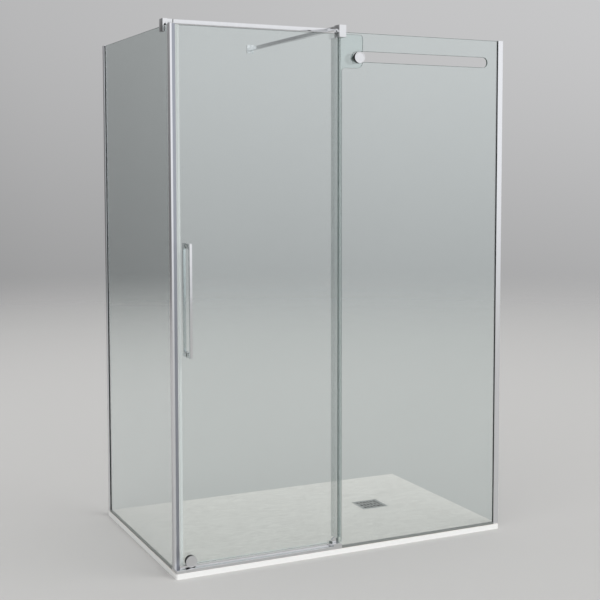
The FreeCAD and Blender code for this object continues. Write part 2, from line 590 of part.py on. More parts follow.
for index, sign in enumerate((-1, 1)):
    x = f"panel_clamp_width / 2 + {sign} * clamp_screw_spread / 2"
    panel_screws.append(rod(f"panel_screw_{index}", "clamp_screw_radius", "panel_rear_jaw",
                            f"{PANEL_CLAMP_X} + {x}", f"{FIXED_BACK_Y} + clamp_pad",
                            f"{CLAMP_Z} + clamp_screw_up", "y"))
    pocket(panel_clamp, draw_circle(new_sketch(panel_clamp, "XZ_Plane", f"-{PANEL_CLAMP_DEPTH}"), x,
                                    "clamp_screw_up", "clamp_screw_radius"), "panel_rear_jaw", reverse=True)
group("panel_clamp_screws", panel_screws)
extruded("panel_clamp_lining", "YZ_Plane", pad_outline("glass_thickness"),
         "panel_clamp_width - panel_clamp_lead", FIXED_X, f"{FIXED_Y} - clamp_pad", CLAMP_Z)
cover = extruded("panel_clamp_cover", "XZ_Plane",
                 [("0", "0"), ("panel_clamp_width", "0"), ("panel_clamp_width", CLAMP_HEIGHT),
                  ("0", CLAMP_HEIGHT)],
                 "panel_cover", PANEL_CLAMP_X, f"{PANEL_CLAMP_Y} - panel_cover", CLAMP_Z)
round_edges(cover, lambda edge, middle: abs(middle.y) < 0.01, "clamp_corner")


# Square tubes of the top bar and the brace.
def tube(name, plane, length, x, y, z):
    bar = new_body(name, x, y, z)
    away = plane == "XZ_Plane"
    pad(bar, draw_box(new_sketch(bar, plane), "0", "bar_size", "0", "bar_size"), length, reverse=away)
    along = "y" if away else "x"
    round_edges(bar, lambda edge, middle: runs_along(edge, along), "bar_corner")
    hollow = draw_box(new_sketch(bar, plane), "bar_wall", "bar_size - bar_wall", "bar_wall",
                      "bar_size - bar_wall")
    pocket(bar, hollow, length, reverse=not away)
    return bar


TOP_BAR_X = f"({CORNER_CLAMP_X} + {CORNER_CLAMP_WIDTH} + corner_stub + joint_gap)"
tube("top_bar", "YZ_Plane", f"{BRACE_X} - {TOP_BAR_X}", TOP_BAR_X, BAR_Y, BAR_Z)
BRACE_Y = f"({PANEL_CLAMP_Y} + {PANEL_CLAMP_DEPTH})"
brace = tube("brace_bar", "XZ_Plane", f"{BACK} - flange_thickness - {BRACE_Y}", BRACE_X, BRACE_Y, BAR_Z)
pocket(brace, draw_circle(new_sketch(brace, "YZ_Plane", "bar_size"), f"{BAR_Y} + bar_size / 2 - {BRACE_Y}",
                          "bar_size / 2", "tie_screw_radius"), "bar_size")

# The plug in the top bar's end, and the screw through the brace that ties the two bars.
HOLLOW = "(bar_size - 2 * bar_wall)"
tie_y = f"{BAR_Y} + bar_size / 2"
tie_z = f"{BAR_Z} + bar_size / 2"
finish(cut("top_bar_plug",
           block("plug_blank", "plug_length", HOLLOW, HOLLOW, f"{BRACE_X} - plug_length",
                 f"{BAR_Y} + bar_wall", f"{BAR_Z} + bar_wall"),
           rod("plug_bore", "tie_screw_radius", "plug_length", f"{BRACE_X} - plug_length", tie_y, tie_z, "x")))
tie_screw = doc.addObject("Part::MultiFuse", "top_bar_screw")
tie_screw.Shapes = [
    rod("tie_shank", "tie_screw_radius", "plug_length + bar_size", f"{BRACE_X} - plug_length", tie_y, tie_z,
        "x"),
    rod("tie_head", "tie_head_radius", "tie_head_height", f"{BRACE_X} + bar_size", tie_y, tie_z, "x")]
finish(tie_screw)

# Wall flange: a plate on the back wall with two screw holes, and a spigot inside the brace.
FLANGE_X = f"({BRACE_X} + bar_size / 2)"
FLANGE_Z = f"({BAR_Z} + bar_size / 2)"
flange_half = "flange_width / 2"
flange_up = "flange_height / 2"
flange = extruded("wall_flange", "XZ_Plane",
                  [(f"-{flange_half}", f"-{flange_up}"), (flange_half, f"-{flange_up}"),
                   (flange_half, flange_up), (f"-{flange_half}", flange_up)],
                  "flange_thickness", FLANGE_X, f"{BACK} - flange_thickness", FLANGE_Z)
round_edges(flange, lambda edge, middle: runs_along(edge, "y"), "flange_corner")
pad(flange, draw_box(new_sketch(flange, "XZ_Plane"), f"-{SPIGOT} / 2", f"{SPIGOT} / 2", f"-{SPIGOT} / 2",
                     f"{SPIGOT} / 2"), "spigot_length")
for sign in (-1, 1):
    pocket(flange, draw_circle(new_sketch(flange, "XZ_Plane"), "0", f"{sign} * flange_hole_spacing / 2",
                               "flange_hole_radius"), "flange_thickness")

# Bottom rail along the front of the tray, with the ridge that the lower wheel runs on.
END_BLOCK_WIDTH = f"({PROFILE_RIGHT_X} - {END_BLOCK_X})"
RIDGE_AT = f"({LOWER_WHEEL_Y} + lower_wheel_width / 2 - {RAIL_Y})"
rail = extruded("bottom_rail", "YZ_Plane", [
    ("0", "0"), ("rail_depth", "0"), ("rail_depth", "rail_height"),
    (f"{RIDGE_AT} + ridge_width / 2", "rail_height"),
    (f"{RIDGE_AT} + ridge_width / 2", "rail_height + ridge_height"),
    (f"{RIDGE_AT} - ridge_width / 2", "rail_height + ridge_height"),
    (f"{RIDGE_AT} - ridge_width / 2", "rail_height"), ("0", "rail_height")],
    f"{GUIDE_X} - {PROFILE_RIGHT_X}", PROFILE_RIGHT_X, RAIL_Y, "tray_height")
rail_top_now = measure("rail_height")
round_edges(rail, lambda edge, middle: runs_along(edge, "x") and middle.y < 0.01
            and abs(middle.z - rail_top_now) < 0.01, "rail_edge")

# End block under the corner profile, notched for the foot of the side pane, and dowelled to the rail.
end_block = extruded("rail_end_block", "XY_Plane",
                     [("0", "0"), (END_BLOCK_WIDTH, "0"), (END_BLOCK_WIDTH, "end_block_depth"),
                      ("0", "end_block_depth")], "rail_height", END_BLOCK_X, RAIL_Y, "tray_height")
round_edges(end_block, lambda edge, middle: abs(middle.z - rail_top_now) < 0.01
            and (middle.y < 0.01 or middle.x < 0.01), "rail_edge")
notch_left = f"{SIDE_X} - glue_gap - {END_BLOCK_X}"
pocket(end_block, draw_box(new_sketch(end_block, "XY_Plane", "rail_height"), notch_left,
                           f"{notch_left} + 2 * glue_gap + glass_thickness",
                           f"{PROFILE_Y} + profile_bed - {RAIL_Y}", "end_block_depth"), "rail_height")
dowels = []
for index, share in enumerate(("dowel_in", "rail_depth - dowel_in")):
    across = f"({share})"
    dowels.append(rod(f"rail_dowel_{index}", "dowel_radius", "dowel_length",
                      f"{PROFILE_RIGHT_X} - dowel_length / 2", f"{RAIL_Y} + {across}",
                      "tray_height + rail_height / 2", "x"))
    pocket(end_block, draw_circle(new_sketch(end_block, "YZ_Plane", END_BLOCK_WIDTH), across,
                                  "rail_height / 2", "dowel_radius"), "dowel_length / 2")
    pocket(rail, draw_circle(new_sketch(rail, "YZ_Plane"), across, "rail_height / 2", "dowel_radius"),
           "dowel_length / 2", reverse=True)
group("rail_dowels", dowels)

# Guide block: it holds the lower corner of the fixed pane and leaves a way for the foot of the door.
WAY_FRONT = f"({DOOR_Y} - seal_wall - door_way - {RAIL_Y})"
WAY_BACK = f"({DOOR_BACK_Y} + seal_wall + door_way - {RAIL_Y})"
guide = extruded("guide_block", "YZ_Plane", [
    ("0", "0"), (f"{WAY_BACK} + guide_rear_jaw", "0"), (f"{WAY_BACK} + guide_rear_jaw", "guide_front_jaw"),
    (WAY_BACK, "guide_front_jaw"), (WAY_BACK, "rail_height"), (WAY_FRONT, "rail_height"),
    (WAY_FRONT, "mid_jaw_height"), (f"{FIXED_BACK_Y} + glass_slot_gap - {RAIL_Y}", "mid_jaw_height"),
    (f"{FIXED_BACK_Y} + glass_slot_gap - {RAIL_Y}", "guide_front_jaw"), ("0", "guide_front_jaw")],
    "guide_length", GUIDE_X, RAIL_Y, "tray_height")
guide_length_now = measure("guide_length")
guide_top_now = measure("guide_front_jaw")
round_edges(guide, lambda edge, middle: runs_along(edge, "y") and abs(middle.x - guide_length_now) < 0.01
            and abs(middle.z - guide_top_now) < 0.01, "guide_corner")
pocket(guide, draw_box(new_sketch(guide, "XY_Plane", "guide_front_jaw"), "guide_lead - glass_slot_gap",
                       "guide_length", f"{FIXED_Y} - glass_slot_gap - {RAIL_Y}",
                       f"{FIXED_BACK_Y} + glass_slot_gap - {RAIL_Y}"), "guide_front_jaw - sill_floor")

# Guide disc on its stem: a chrome face with a nylon pad that steadies the door.
DISC_X = f"({GUIDE_X} + disc_radius)"
DISC_Y = f"({FIXED_BACK_Y} + disc_gap)"
DISC_Z = "(tray_height + mid_jaw_height + disc_lift + disc_radius)"
disc = turned("guide_disc", [("0", "0"), ("disc_radius - disc_rim", "0"), ("disc_radius", "disc_rim"),
                             ("disc_radius", "disc_length"), ("0", "disc_length")], DISC_X, DISC_Y, DISC_Z)
STEM_Z = "(tray_height + mid_jaw_height - stem_in_block)"
pocket(disc, draw_circle(new_sketch(disc, "XY_Plane", "-disc_radius"), "0", "disc_length / 2",
                         "stem_radius"), "stem_in_disc", reverse=True)
pocket(guide, draw_circle(new_sketch(guide, "XY_Plane", "mid_jaw_height"), "disc_radius",
                          f"{DISC_Y} + disc_length / 2 - {RAIL_Y}", "stem_radius"), "stem_in_block")
finish(rod("guide_stem", "stem_radius", "stem_in_block + disc_lift + stem_in_disc", DISC_X,
           f"{DISC_Y} + disc_length / 2", STEM_Z, "z"))
PAD_LENGTH = f"({DOOR_Y} - seal_wall - {DISC_Y} - disc_length - rub_gap)"
turned("guide_disc_pad", [("0", "0"), ("disc_radius - disc_rim", "0"), ("disc_radius - disc_rim", PAD_LENGTH),
                          ("0", PAD_LENGTH)], DISC_X, f"{DISC_Y} + disc_length", DISC_Z)

# Seals. The door's closing edge carries a magnet seal, its foot a wiper, and the fixed pane's free edge
# a clip with a thin fin that leans back to the door.
seal_outline = [("0", "0"), ("seal_nose + seal_leg", "0"), ("seal_nose + seal_leg", "seal_wall"),
                ("seal_nose", "seal_wall"), ("seal_nose", "seal_wall + glass_thickness"),
                ("seal_nose + seal_leg", "seal_wall + glass_thickness"),
                ("seal_nose + seal_leg", "2 * seal_wall + glass_thickness"),
                ("0", "2 * seal_wall + glass_thickness")]
extruded("door_closing_seal", "XY_Plane", seal_outline, DOOR_HEIGHT, f"{DOOR_X} - seal_nose",
         f"{DOOR_Y} - seal_wall", DOOR_Z)
extruded("door_bottom_wiper", "YZ_Plane", [
    ("0", "0"), ("2 * seal_wall + glass_thickness", "0"),
    ("2 * seal_wall + glass_thickness", "wiper_foot + wiper_leg"),
    ("seal_wall + glass_thickness", "wiper_foot + wiper_leg"),
    ("seal_wall + glass_thickness", "wiper_foot"), ("seal_wall", "wiper_foot"),
    ("seal_wall", "wiper_foot + wiper_leg"), ("0", "wiper_foot + wiper_leg")],
    f"{DOOR_WIDTH} - seal_leg", f"{DOOR_X} + seal_leg", f"{DOOR_Y} - seal_wall", f"{DOOR_Z} - wiper_foot")
FIN_Z = f"({DISC_Z} + disc_radius + disc_lift)"
FIN_END = "(glass_thickness + door_gap - rub_gap)"
extruded("fixed_edge_seal", "XY_Plane", [
    ("-seal_wall", "-seal_wall"), ("clip_grip", "-seal_wall"), ("clip_grip", "0"), ("0", "0"),
    ("0", "glass_thickness"), ("clip_grip", "glass_thickness"),
    ("clip_grip", "glass_thickness + seal_wall"), ("0", "glass_thickness + seal_wall"),
    ("-fin_reach + fin_sheet", FIN_END), ("-fin_reach", FIN_END), ("-seal_wall", "glass_thickness")],
    f"{CLAMP_Z} - fin_top_gap - {FIN_Z}", FIXED_X, FIXED_Y, FIN_Z)


# Rollers. Each axle is screwed through a bushed hole in the door pane and closed with a dome nut, and a
# round cap covers the wheel, which turns on a ball bearing.
def roller_fixings(prefix, x, z):
    """The bush, washer and nut that hold one axle in the door pane."""
    turned(f"{prefix}_roller_bush", [
        ("neck_radius", "0"), ("washer_radius", "0"), ("washer_radius", "washer_thickness"),
        ("bush_radius", "washer_thickness"), ("bush_radius", "washer_thickness + glass_thickness"),
        ("neck_radius", "washer_thickness + glass_thickness")], x, f"{DOOR_Y} - washer_thickness", z)
    turned(f"{prefix}_roller_washer", [
        ("neck_radius", "0"), ("washer_radius", "0"), ("washer_radius", "washer_thickness"),
        ("neck_radius", "washer_thickness")], x, DOOR_BACK_Y, z)
    turned(f"{prefix}_roller_nut", [
        ("stud_radius", "0"), ("nut_radius", "0"), ("nut_radius", "nut_length - nut_rim"),
        ("nut_radius - nut_rim", "nut_length"), ("0", "nut_length"), ("0", "thread_length"),
        ("stud_radius", "thread_length")], x, f"{DOOR_BACK_Y} + washer_thickness", z)


NECK_Y = f"({DOOR_Y} - washer_thickness)"
NECK_END_Y = f"({DOOR_BACK_Y} + washer_thickness)"


def axle(name, x, z, start, shoulders):
    """A stud with shoulders, each given as a radius and where it begins, up to the neck and the thread."""
    corners = [("0", "0")]
    radius = "stud_radius"
    along = "0"
    for next_radius, begins in shoulders + [("neck_radius", NECK_Y), ("stud_radius", NECK_END_Y)]:
        corners.append((radius, along))
        along = f"{begins} - {start}"
        corners.append((radius, along))
        radius = next_radius
    end = f"{NECK_END_Y} + thread_length - {start}"
    turned(name, corners + [(radius, along), (radius, end), ("0", end)], x, start, z)


def bearing_y(wheel_y, width):
    return f"({wheel_y} + {width} / 2 - bearing_width / 2)"


def wheel_bearing(name, x, wheel_y, width, z):
    bore = "stud_radius + shaft_gap"
    turned(name, [(bore, "0"), ("race_radius", "0"), ("race_radius", "bearing_width"),
                  (bore, "bearing_width")], x, bearing_y(wheel_y, width), z)


def roller_cap(name, x, y, z, length, hole_depth, nose_end):
    """A round cover: a bevelled face, a threaded blind hole and a nose that holds the bearing."""
    nose = f"{nose_end} - {y}"
    turned(name, [("0", "0"), ("cap_radius - cap_rim", "0"), ("cap_radius", "cap_rim"),
                  ("cap_radius", length), ("collar_radius", length), ("collar_radius", nose),
                  ("stud_radius", nose),
                  ("stud_radius", f"{length} - {hole_depth}"), ("0", f"{length} - {hole_depth}")], x, y, z)


# Upper roller, in the slot of the fixed pane.
UPPER_CAP_Y = f"({FIXED_Y} - rear_flange_gap - upper_cap_length)"
UPPER_BEARING_Y = bearing_y(UPPER_WHEEL_Y, "upper_wheel_width")
FLANGE_START = f"({FIXED_BACK_Y} + rear_flange_gap)"
roller_cap("upper_roller_cap", UPPER_X, UPPER_CAP_Y, UPPER_Z, "upper_cap_length", "cap_hole_depth",
           f"{UPPER_BEARING_Y} - running_gap")
axle("upper_roller_axle", UPPER_X, UPPER_Z, f"({UPPER_CAP_Y} + upper_cap_length - cap_hole_depth)", [
    ("collar_radius", f"{UPPER_BEARING_Y} + bearing_width + running_gap"),
    ("rear_flange_radius", FLANGE_START), ("hub_radius", f"{FLANGE_START} + rear_flange_thickness")])
roller_fixings("upper", UPPER_X, UPPER_Z)
wheel_bearing("upper_wheel_bearing", UPPER_X, UPPER_WHEEL_Y, "upper_wheel_width", UPPER_Z)
turned("upper_wheel_tyre", [
    ("race_radius", "0"), ("upper_tread - side_gap", "0"), ("upper_tread", "side_gap"),
    ("upper_tread", "upper_wheel_width - side_gap"), ("upper_tread - side_gap", "upper_wheel_width"),
    ("race_radius", "upper_wheel_width")], UPPER_X, UPPER_WHEEL_Y, UPPER_Z)

# Lower roller, on the ridge of the rail.
LOWER_CAP_Y = f"({LOWER_WHEEL_Y} - side_gap - lower_cap_length)"
LOWER_BEARING_Y = bearing_y(LOWER_WHEEL_Y, "lower_wheel_width")
roller_cap("lower_roller_cap", LOWER_X, LOWER_CAP_Y, LOWER_Z, "lower_cap_length", "lower_cap_hole_depth",
           f"{LOWER_BEARING_Y} - running_gap")
axle("lower_roller_axle", LOWER_X, LOWER_Z, f"({LOWER_CAP_Y} + lower_cap_length - lower_cap_hole_depth)", [
    ("collar_radius", f"{LOWER_BEARING_Y} + bearing_width + running_gap")])
roller_fixings("lower", LOWER_X, LOWER_Z)
wheel_bearing("lower_wheel_bearing", LOWER_X, LOWER_WHEEL_Y, "lower_wheel_width", LOWER_Z)
groove_start = "(lower_wheel_width / 2 - groove_width / 2)"
groove_end = "(lower_wheel_width / 2 + groove_width / 2)"
turned("lower_wheel_tyre", [
    ("race_radius", "0"), ("lower_flange", "0"), ("lower_flange", f"{groove_start} - groove_slope"),
    ("lower_tread", groove_start), ("lower_tread", groove_end),
    ("lower_flange", f"{groove_end} + groove_slope"), ("lower_flange", "lower_wheel_width"),
    ("race_radius", "lower_wheel_width")], LOWER_X, LOWER_WHEEL_Y, LOWER_Z)


# Handle: a flat bar on each side of the door, on end blocks that are bolted through the pane.
def handle_side(side, bar_y, standoff_y, bore_y, gasket_y):
    bar = extruded(f"handle_{side}_bar", "XY_Plane",
                   [("0", "0"), ("handle_bar_width", "0"), ("handle_bar_width", "handle_bar_depth"),
                    ("0", "handle_bar_depth")], "handle_length", HANDLE_X, bar_y, HANDLE_Z)
    round_edges(bar, lambda edge, middle: runs_along(edge, "z"), "handle_edge")
    standoffs = []
    gaskets = []
    for index, bolt_z in enumerate(handle_bolt_z):
        low = f"{bolt_z} - standoff_height / 2"
        blank = block(f"{side}_standoff_blank_{index}", "handle_bar_width", STANDOFF_LENGTH,
                      "standoff_height", HANDLE_X, standoff_y, low)
        bore = rod(f"{side}_standoff_bore_{index}", "bolt_radius", "bolt_in_standoff",
                   f"{HANDLE_X} + handle_bar_width / 2", bore_y, bolt_z, "y")
        standoffs.append(cut(f"{side}_standoff_{index}", blank, bore))
        washer = block(f"{side}_gasket_blank_{index}", "handle_bar_width", "washer_thickness",
                       "standoff_height", HANDLE_X, gasket_y, low)
        hole = rod(f"{side}_gasket_bore_{index}", "bolt_radius", "washer_thickness",
                   f"{HANDLE_X} + handle_bar_width / 2", gasket_y, bolt_z, "y")
        gaskets.append(cut(f"{side}_gasket_{index}", washer, hole))
    group(f"handle_{side}_standoffs", standoffs)
    return gaskets


gaskets = handle_side("outer", f"{DOOR_Y} - handle_reach",
                      f"{DOOR_Y} - washer_thickness - {STANDOFF_LENGTH}",
                      f"{DOOR_Y} - washer_thickness - bolt_in_standoff", f"{DOOR_Y} - washer_thickness")
gaskets += handle_side("inner", f"{DOOR_BACK_Y} + handle_reach - handle_bar_depth",
                       f"{DOOR_BACK_Y} + washer_thickness", f"{DOOR_BACK_Y} + washer_thickness", DOOR_BACK_Y)
group("handle_gaskets", gaskets)
bolts = []
sleeves = []
for index, bolt_z in enumerate(handle_bolt_z):
    middle_x = f"{HANDLE_X} + handle_bar_width / 2"
    bolts.append(rod(f"handle_bolt_{index}", "bolt_radius",
                     "glass_thickness + 2 * washer_thickness + 2 * bolt_in_standoff", middle_x,
                     f"{DOOR_Y} - washer_thickness - bolt_in_standoff", bolt_z, "y"))
    sleeves.append(cut(f"handle_sleeve_{index}",
                       rod(f"sleeve_blank_{index}", "sleeve_radius", "glass_thickness", middle_x, DOOR_Y,
                           bolt_z, "y"),
                       rod(f"sleeve_bore_{index}", "bolt_radius", "glass_thickness", middle_x, DOOR_Y,
                           bolt_z, "y")))
group("handle_bolts", bolts)
group("handle_sleeves", sleeves)

# Build everything, check it, and write one file for each node.
doc.recompute()
for item in doc.Objects:
    if "Invalid" in item.State or "Error" in item.State:
        raise RuntimeError(f"{item.Label} failed: {item.State}")
os.makedirs("parts", exist_ok=True)
for node in nodes:
    if node.Shape.isNull() or not node.Shape.isValid() or not node.Shape.Solids:
        raise RuntimeError(f"{node.Label} has no good shape")
for node in nodes:
    node.Shape.exportStep(os.path.join("parts", f"{node.Label}.step"))
print(len(nodes), "nodes")
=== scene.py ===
from math import radians

import bmesh
import bpy
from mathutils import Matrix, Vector


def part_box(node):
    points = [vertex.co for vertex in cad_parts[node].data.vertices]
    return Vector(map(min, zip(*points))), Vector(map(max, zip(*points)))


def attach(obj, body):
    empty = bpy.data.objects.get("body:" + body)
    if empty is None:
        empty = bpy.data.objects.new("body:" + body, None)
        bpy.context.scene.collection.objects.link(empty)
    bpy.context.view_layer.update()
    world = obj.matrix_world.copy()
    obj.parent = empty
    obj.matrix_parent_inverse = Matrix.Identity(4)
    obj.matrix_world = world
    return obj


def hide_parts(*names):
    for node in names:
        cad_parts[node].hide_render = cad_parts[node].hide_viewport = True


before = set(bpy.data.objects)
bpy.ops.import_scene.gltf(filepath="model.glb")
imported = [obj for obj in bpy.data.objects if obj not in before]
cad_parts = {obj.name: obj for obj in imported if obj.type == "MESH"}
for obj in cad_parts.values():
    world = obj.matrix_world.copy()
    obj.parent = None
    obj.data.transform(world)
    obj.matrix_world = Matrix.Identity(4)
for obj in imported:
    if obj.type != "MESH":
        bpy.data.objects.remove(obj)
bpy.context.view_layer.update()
bpy.ops.object.select_all(action="DESELECT")

# Shower tray. It is cast from mineral filled resin and gel coated in an off white, with a shallow slate
# relief from its mould on the top and a plainer edge. It lies on the floor and carries everything.


def linear(hex_colour):
    """The linear colour that a shader takes, from an sRGB hex value."""
    parts = [int(hex_colour[i:i + 2], 16) / 255 for i in (1, 3, 5)]
    return [p / 12.92 if p <= 0.04045 else ((p + 0.055) / 1.055) ** 2.4 for p in parts] + [1.0]


def add(tree, kind, inputs=None, **settings):
    """One more node: its settings, then its inputs, which are values or another node's outputs."""
    made = tree.nodes.new(kind)
    for name, value in settings.items():
        setattr(made, name, value)
    for name, value in (inputs or {}).items():
        if isinstance(value, bpy.types.NodeSocket):
            tree.links.new(value, made.inputs[name])
        else:
            made.inputs[name].default_value = value
    return made


def start_material(name):
    """A material with a Principled shader in place, and the object's own coordinates to draw on."""
    material = bpy.data.materials.new(name)
    material.use_nodes = True
    tree = material.node_tree
    shader = tree.nodes["Principled BSDF"]
    place = add(tree, "ShaderNodeTexCoord").outputs["Object"]
    return material, tree, shader, place


def dress(material, *names):
    """Give CAD pieces their finish."""
    for name in names:
        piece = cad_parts[name]
        if not piece.material_slots:
            piece.data.materials.append(material)
        for slot in piece.material_slots:
            slot.material = material


resin, tree, shader, place = start_material("gel_coated_mineral_resin")
# Slate clefts a few centimetres wide, with a fine stone grain over them. The clefts are coloured darker than
# the tops, as painted shade.
layers = add(tree, "ShaderNodeMapping", {"Vector": place, "Scale": (0.45, 1.0, 1.0)})
clefts = add(tree, "ShaderNodeTexNoise", {"Vector": layers.outputs["Vector"], "Scale": 30.0, "Detail": 9.0,
                                          "Roughness": 0.62, "Distortion": 1.6})
cleft_steps = add(tree, "ShaderNodeValToRGB", {"Fac": clefts.outputs["Fac"]})
cleft_steps.color_ramp.elements[0].position = 0.34
cleft_steps.color_ramp.elements[1].position = 0.68
grain = add(tree, "ShaderNodeTexNoise", {"Vector": place, "Scale": 420.0, "Detail": 5.0, "Roughness": 0.7})
patches = add(tree, "ShaderNodeTexNoise", {"Vector": place, "Scale": 5.0, "Detail": 3.0})
tones = add(tree, "ShaderNodeMix", {"Factor": patches.outputs["Fac"], 6: linear("#F3EEE9"),
                                    7: linear("#EAE5E0")}, data_type="RGBA")
# Painted shade: the low clefts of the relief take a darker colour than the tops round them.
tones_with_cleft_shade = add(tree, "ShaderNodeMix", {"Factor": cleft_steps.outputs["Color"], 6: linear("#DED9D4"),
                                       7: tones.outputs[2]}, data_type="RGBA")
# The upright faces come smooth and white out of the mould.
facing = add(tree, "ShaderNodeSeparateXYZ", {"Vector": add(tree, "ShaderNodeTexCoord").outputs["Normal"]})
upward = add(tree, "ShaderNodeMapRange", {"Value": facing.outputs["Z"], "From Min": 0.3, "From Max": 0.8})
coat = add(tree, "ShaderNodeMix", {"Factor": upward.outputs["Result"], 6: linear("#F4F4F2"),
                                   7: tones_with_cleft_shade.outputs[2]}, data_type="RGBA")
tree.links.new(coat.outputs[2], shader.inputs["Base Color"])
relief = add(tree, "ShaderNodeMath", {0: upward.outputs["Result"], 1: 0.45}, operation="MULTIPLY")
low = add(tree, "ShaderNodeBump", {"Height": cleft_steps.outputs["Color"],
                                   "Strength": relief.outputs["Value"], "Distance": 0.0012})
fine = add(tree, "ShaderNodeBump", {"Height": grain.outputs["Fac"], "Strength": 0.18, "Distance": 0.0004,
                                    "Normal": low.outputs["Normal"]})
tree.links.new(fine.outputs["Normal"], shader.inputs["Normal"])
sheen = add(tree, "ShaderNodeMapRange", {"Value": grain.outputs["Fac"], "To Min": 0.52, "To Max": 0.72})
tree.links.new(sheen.outputs["Result"], shader.inputs["Roughness"])
dress(resin, "shower_tray")

# Drain grate. A square of folded stainless steel with rows of rounded slots, brushed along its length. It
# stands loose in the recess on its skirt, so it rides on its own body.


def edit(piece):
    """Go into edit mode on one piece with nothing selected, and return its mesh to read."""
    bpy.ops.object.select_all(action="DESELECT")
    piece.select_set(True)
    bpy.context.view_layer.objects.active = piece
    bpy.ops.object.mode_set(mode="EDIT")
    bpy.ops.mesh.select_all(action="DESELECT")
    return bmesh.from_edit_mesh(piece.data)


# A face or edge counts as turned along an axis from this share of its unit length on, and an edge is broken
# where its two faces turn by more than this angle.
mostly = 0.9
crease = radians(50)


def choose(piece, mesh, kind, test):
    """Select the faces or edges that pass a test on their middle and their normal or direction."""
    bpy.ops.mesh.select_all(action="DESELECT")
    bpy.ops.mesh.select_mode(type="FACE" if kind == "faces" else "EDGE")
    for item in getattr(mesh, kind):
        if kind == "faces":
            chosen = test(item.calc_center_median(), item.normal)
        else:
            ends = [vertex.co for vertex in item.verts]
            chosen = test((ends[0] + ends[1]) / 2, (ends[1] - ends[0]).normalized())
        item.select_set(chosen)
    bmesh.update_edit_mesh(piece.data)


def leave(piece, smooth=35):
    """Back to object mode, with the place in the mesh and smooth shading up to a crease of some degrees."""
    bpy.ops.object.mode_set(mode="OBJECT")
    bpy.ops.object.transform_apply(location=True, rotation=True, scale=True)
    bpy.ops.object.shade_smooth_by_angle(angle=radians(smooth))


def new_block(name, low_corner, high_corner):
    """A cube primitive that fills a box."""
    bpy.ops.object.select_all(action="DESELECT")
    low_corner, high_corner = Vector(low_corner), Vector(high_corner)
    bpy.ops.mesh.primitive_cube_add(size=1, location=(low_corner + high_corner) / 2)
    piece = bpy.context.object
    piece.name = piece.data.name = name
    piece.scale = high_corner - low_corner
    bpy.ops.object.transform_apply(location=True, rotation=True, scale=True)
    return piece


def modify(piece, kind, **settings):
    """Add a modifier and apply it."""
    bpy.context.view_layer.objects.active = piece
    step = piece.modifiers.new(kind.lower(), kind)
    for name, value in settings.items():
        setattr(step, name, value)
    bpy.ops.object.modifier_apply(modifier=step.name)


def finish_piece(piece, material, body, slot_name, *nodes):
    """The piece's finish, its body, and the CAD pieces that it stands for."""
    piece.data.materials.clear()
    piece.data.materials.append(material)
    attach(piece, body)
    if nodes:
        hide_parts(*nodes)


grate_low, grate_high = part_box("drain_grate")
grate_middle = (grate_low + grate_high) / 2
sheet, corner_radius, fold_radius = 0.002, 0.002, 0.0004
slot_columns, slot_rows, column_pitch, row_pitch = 6, 3, 0.016, 0.032
half_slot = Vector((0.005, 0.013, 0.004))
plate = new_block("grate_plate", grate_low, grate_high)
mesh = edit(plate)
choose(plate, mesh, "edges", lambda middle, along: abs(along.z) > mostly)
bpy.ops.mesh.bevel(offset=corner_radius, segments=4)
leave(plate)
hollow = new_block("grate_hollow", grate_low + Vector((sheet, sheet, -sheet / 2)),
                   grate_high - Vector((sheet, sheet, sheet)))
modify(plate, "BOOLEAN", object=hollow, solver="EXACT")
bpy.data.objects.remove(hollow)
first_slot = Vector((grate_middle.x - column_pitch * (slot_columns - 1) / 2,
                     grate_middle.y - row_pitch * (slot_rows - 1) / 2, grate_high.z))
slot_cutter = new_block("grate_slots", first_slot - half_slot, first_slot + half_slot)
mesh = edit(slot_cutter)
choose(slot_cutter, mesh, "edges", lambda middle, along: abs(along.z) > mostly)
bpy.ops.mesh.bevel(offset=half_slot.x * 0.98, segments=6)
bpy.ops.object.mode_set(mode="OBJECT")
modify(slot_cutter, "ARRAY", count=slot_columns, use_relative_offset=False, use_constant_offset=True,
       constant_offset_displace=(column_pitch, 0, 0))
modify(slot_cutter, "ARRAY", count=slot_rows, use_relative_offset=False, use_constant_offset=True,
       constant_offset_displace=(0, row_pitch, 0))
modify(plate, "BOOLEAN", object=slot_cutter, solver="EXACT")
bpy.data.objects.remove(slot_cutter)
modify(plate, "BEVEL", width=fold_radius, segments=2, limit_method="ANGLE", angle_limit=crease)
edit(plate)
leave(plate)

stainless, tree, shader, place = start_material("brushed_stainless_steel")
# Brushing lines along X, drawn a little coarse so that they still show.
lines = add(tree, "ShaderNodeMapping", {"Vector": place, "Scale": (12.0, 900.0, 60.0)})
brushing = add(tree, "ShaderNodeTexNoise", {"Vector": lines.outputs["Vector"], "Scale": 1.0, "Detail": 4.0})
steel_tone = add(tree, "ShaderNodeMix", {"Factor": brushing.outputs["Fac"], 6: linear("#ADAEAD"),
                                         7: linear("#C2C3C2")}, data_type="RGBA")
tree.links.new(steel_tone.outputs[2], shader.inputs["Base Color"])
shader.inputs["Metallic"].default_value = 1.0
haze = add(tree, "ShaderNodeMapRange", {"Value": brushing.outputs["Fac"], "To Min": 0.28, "To Max": 0.42})
tree.links.new(haze.outputs["Result"], shader.inputs["Roughness"])
scratch = add(tree, "ShaderNodeBump", {"Height": brushing.outputs["Fac"], "Strength": 0.12,
                                       "Distance": 0.0002})
tree.links.new(scratch.outputs["Normal"], shader.inputs["Normal"])
finish_piece(plate, stainless, "grate", "stainless_steel", "drain_grate")
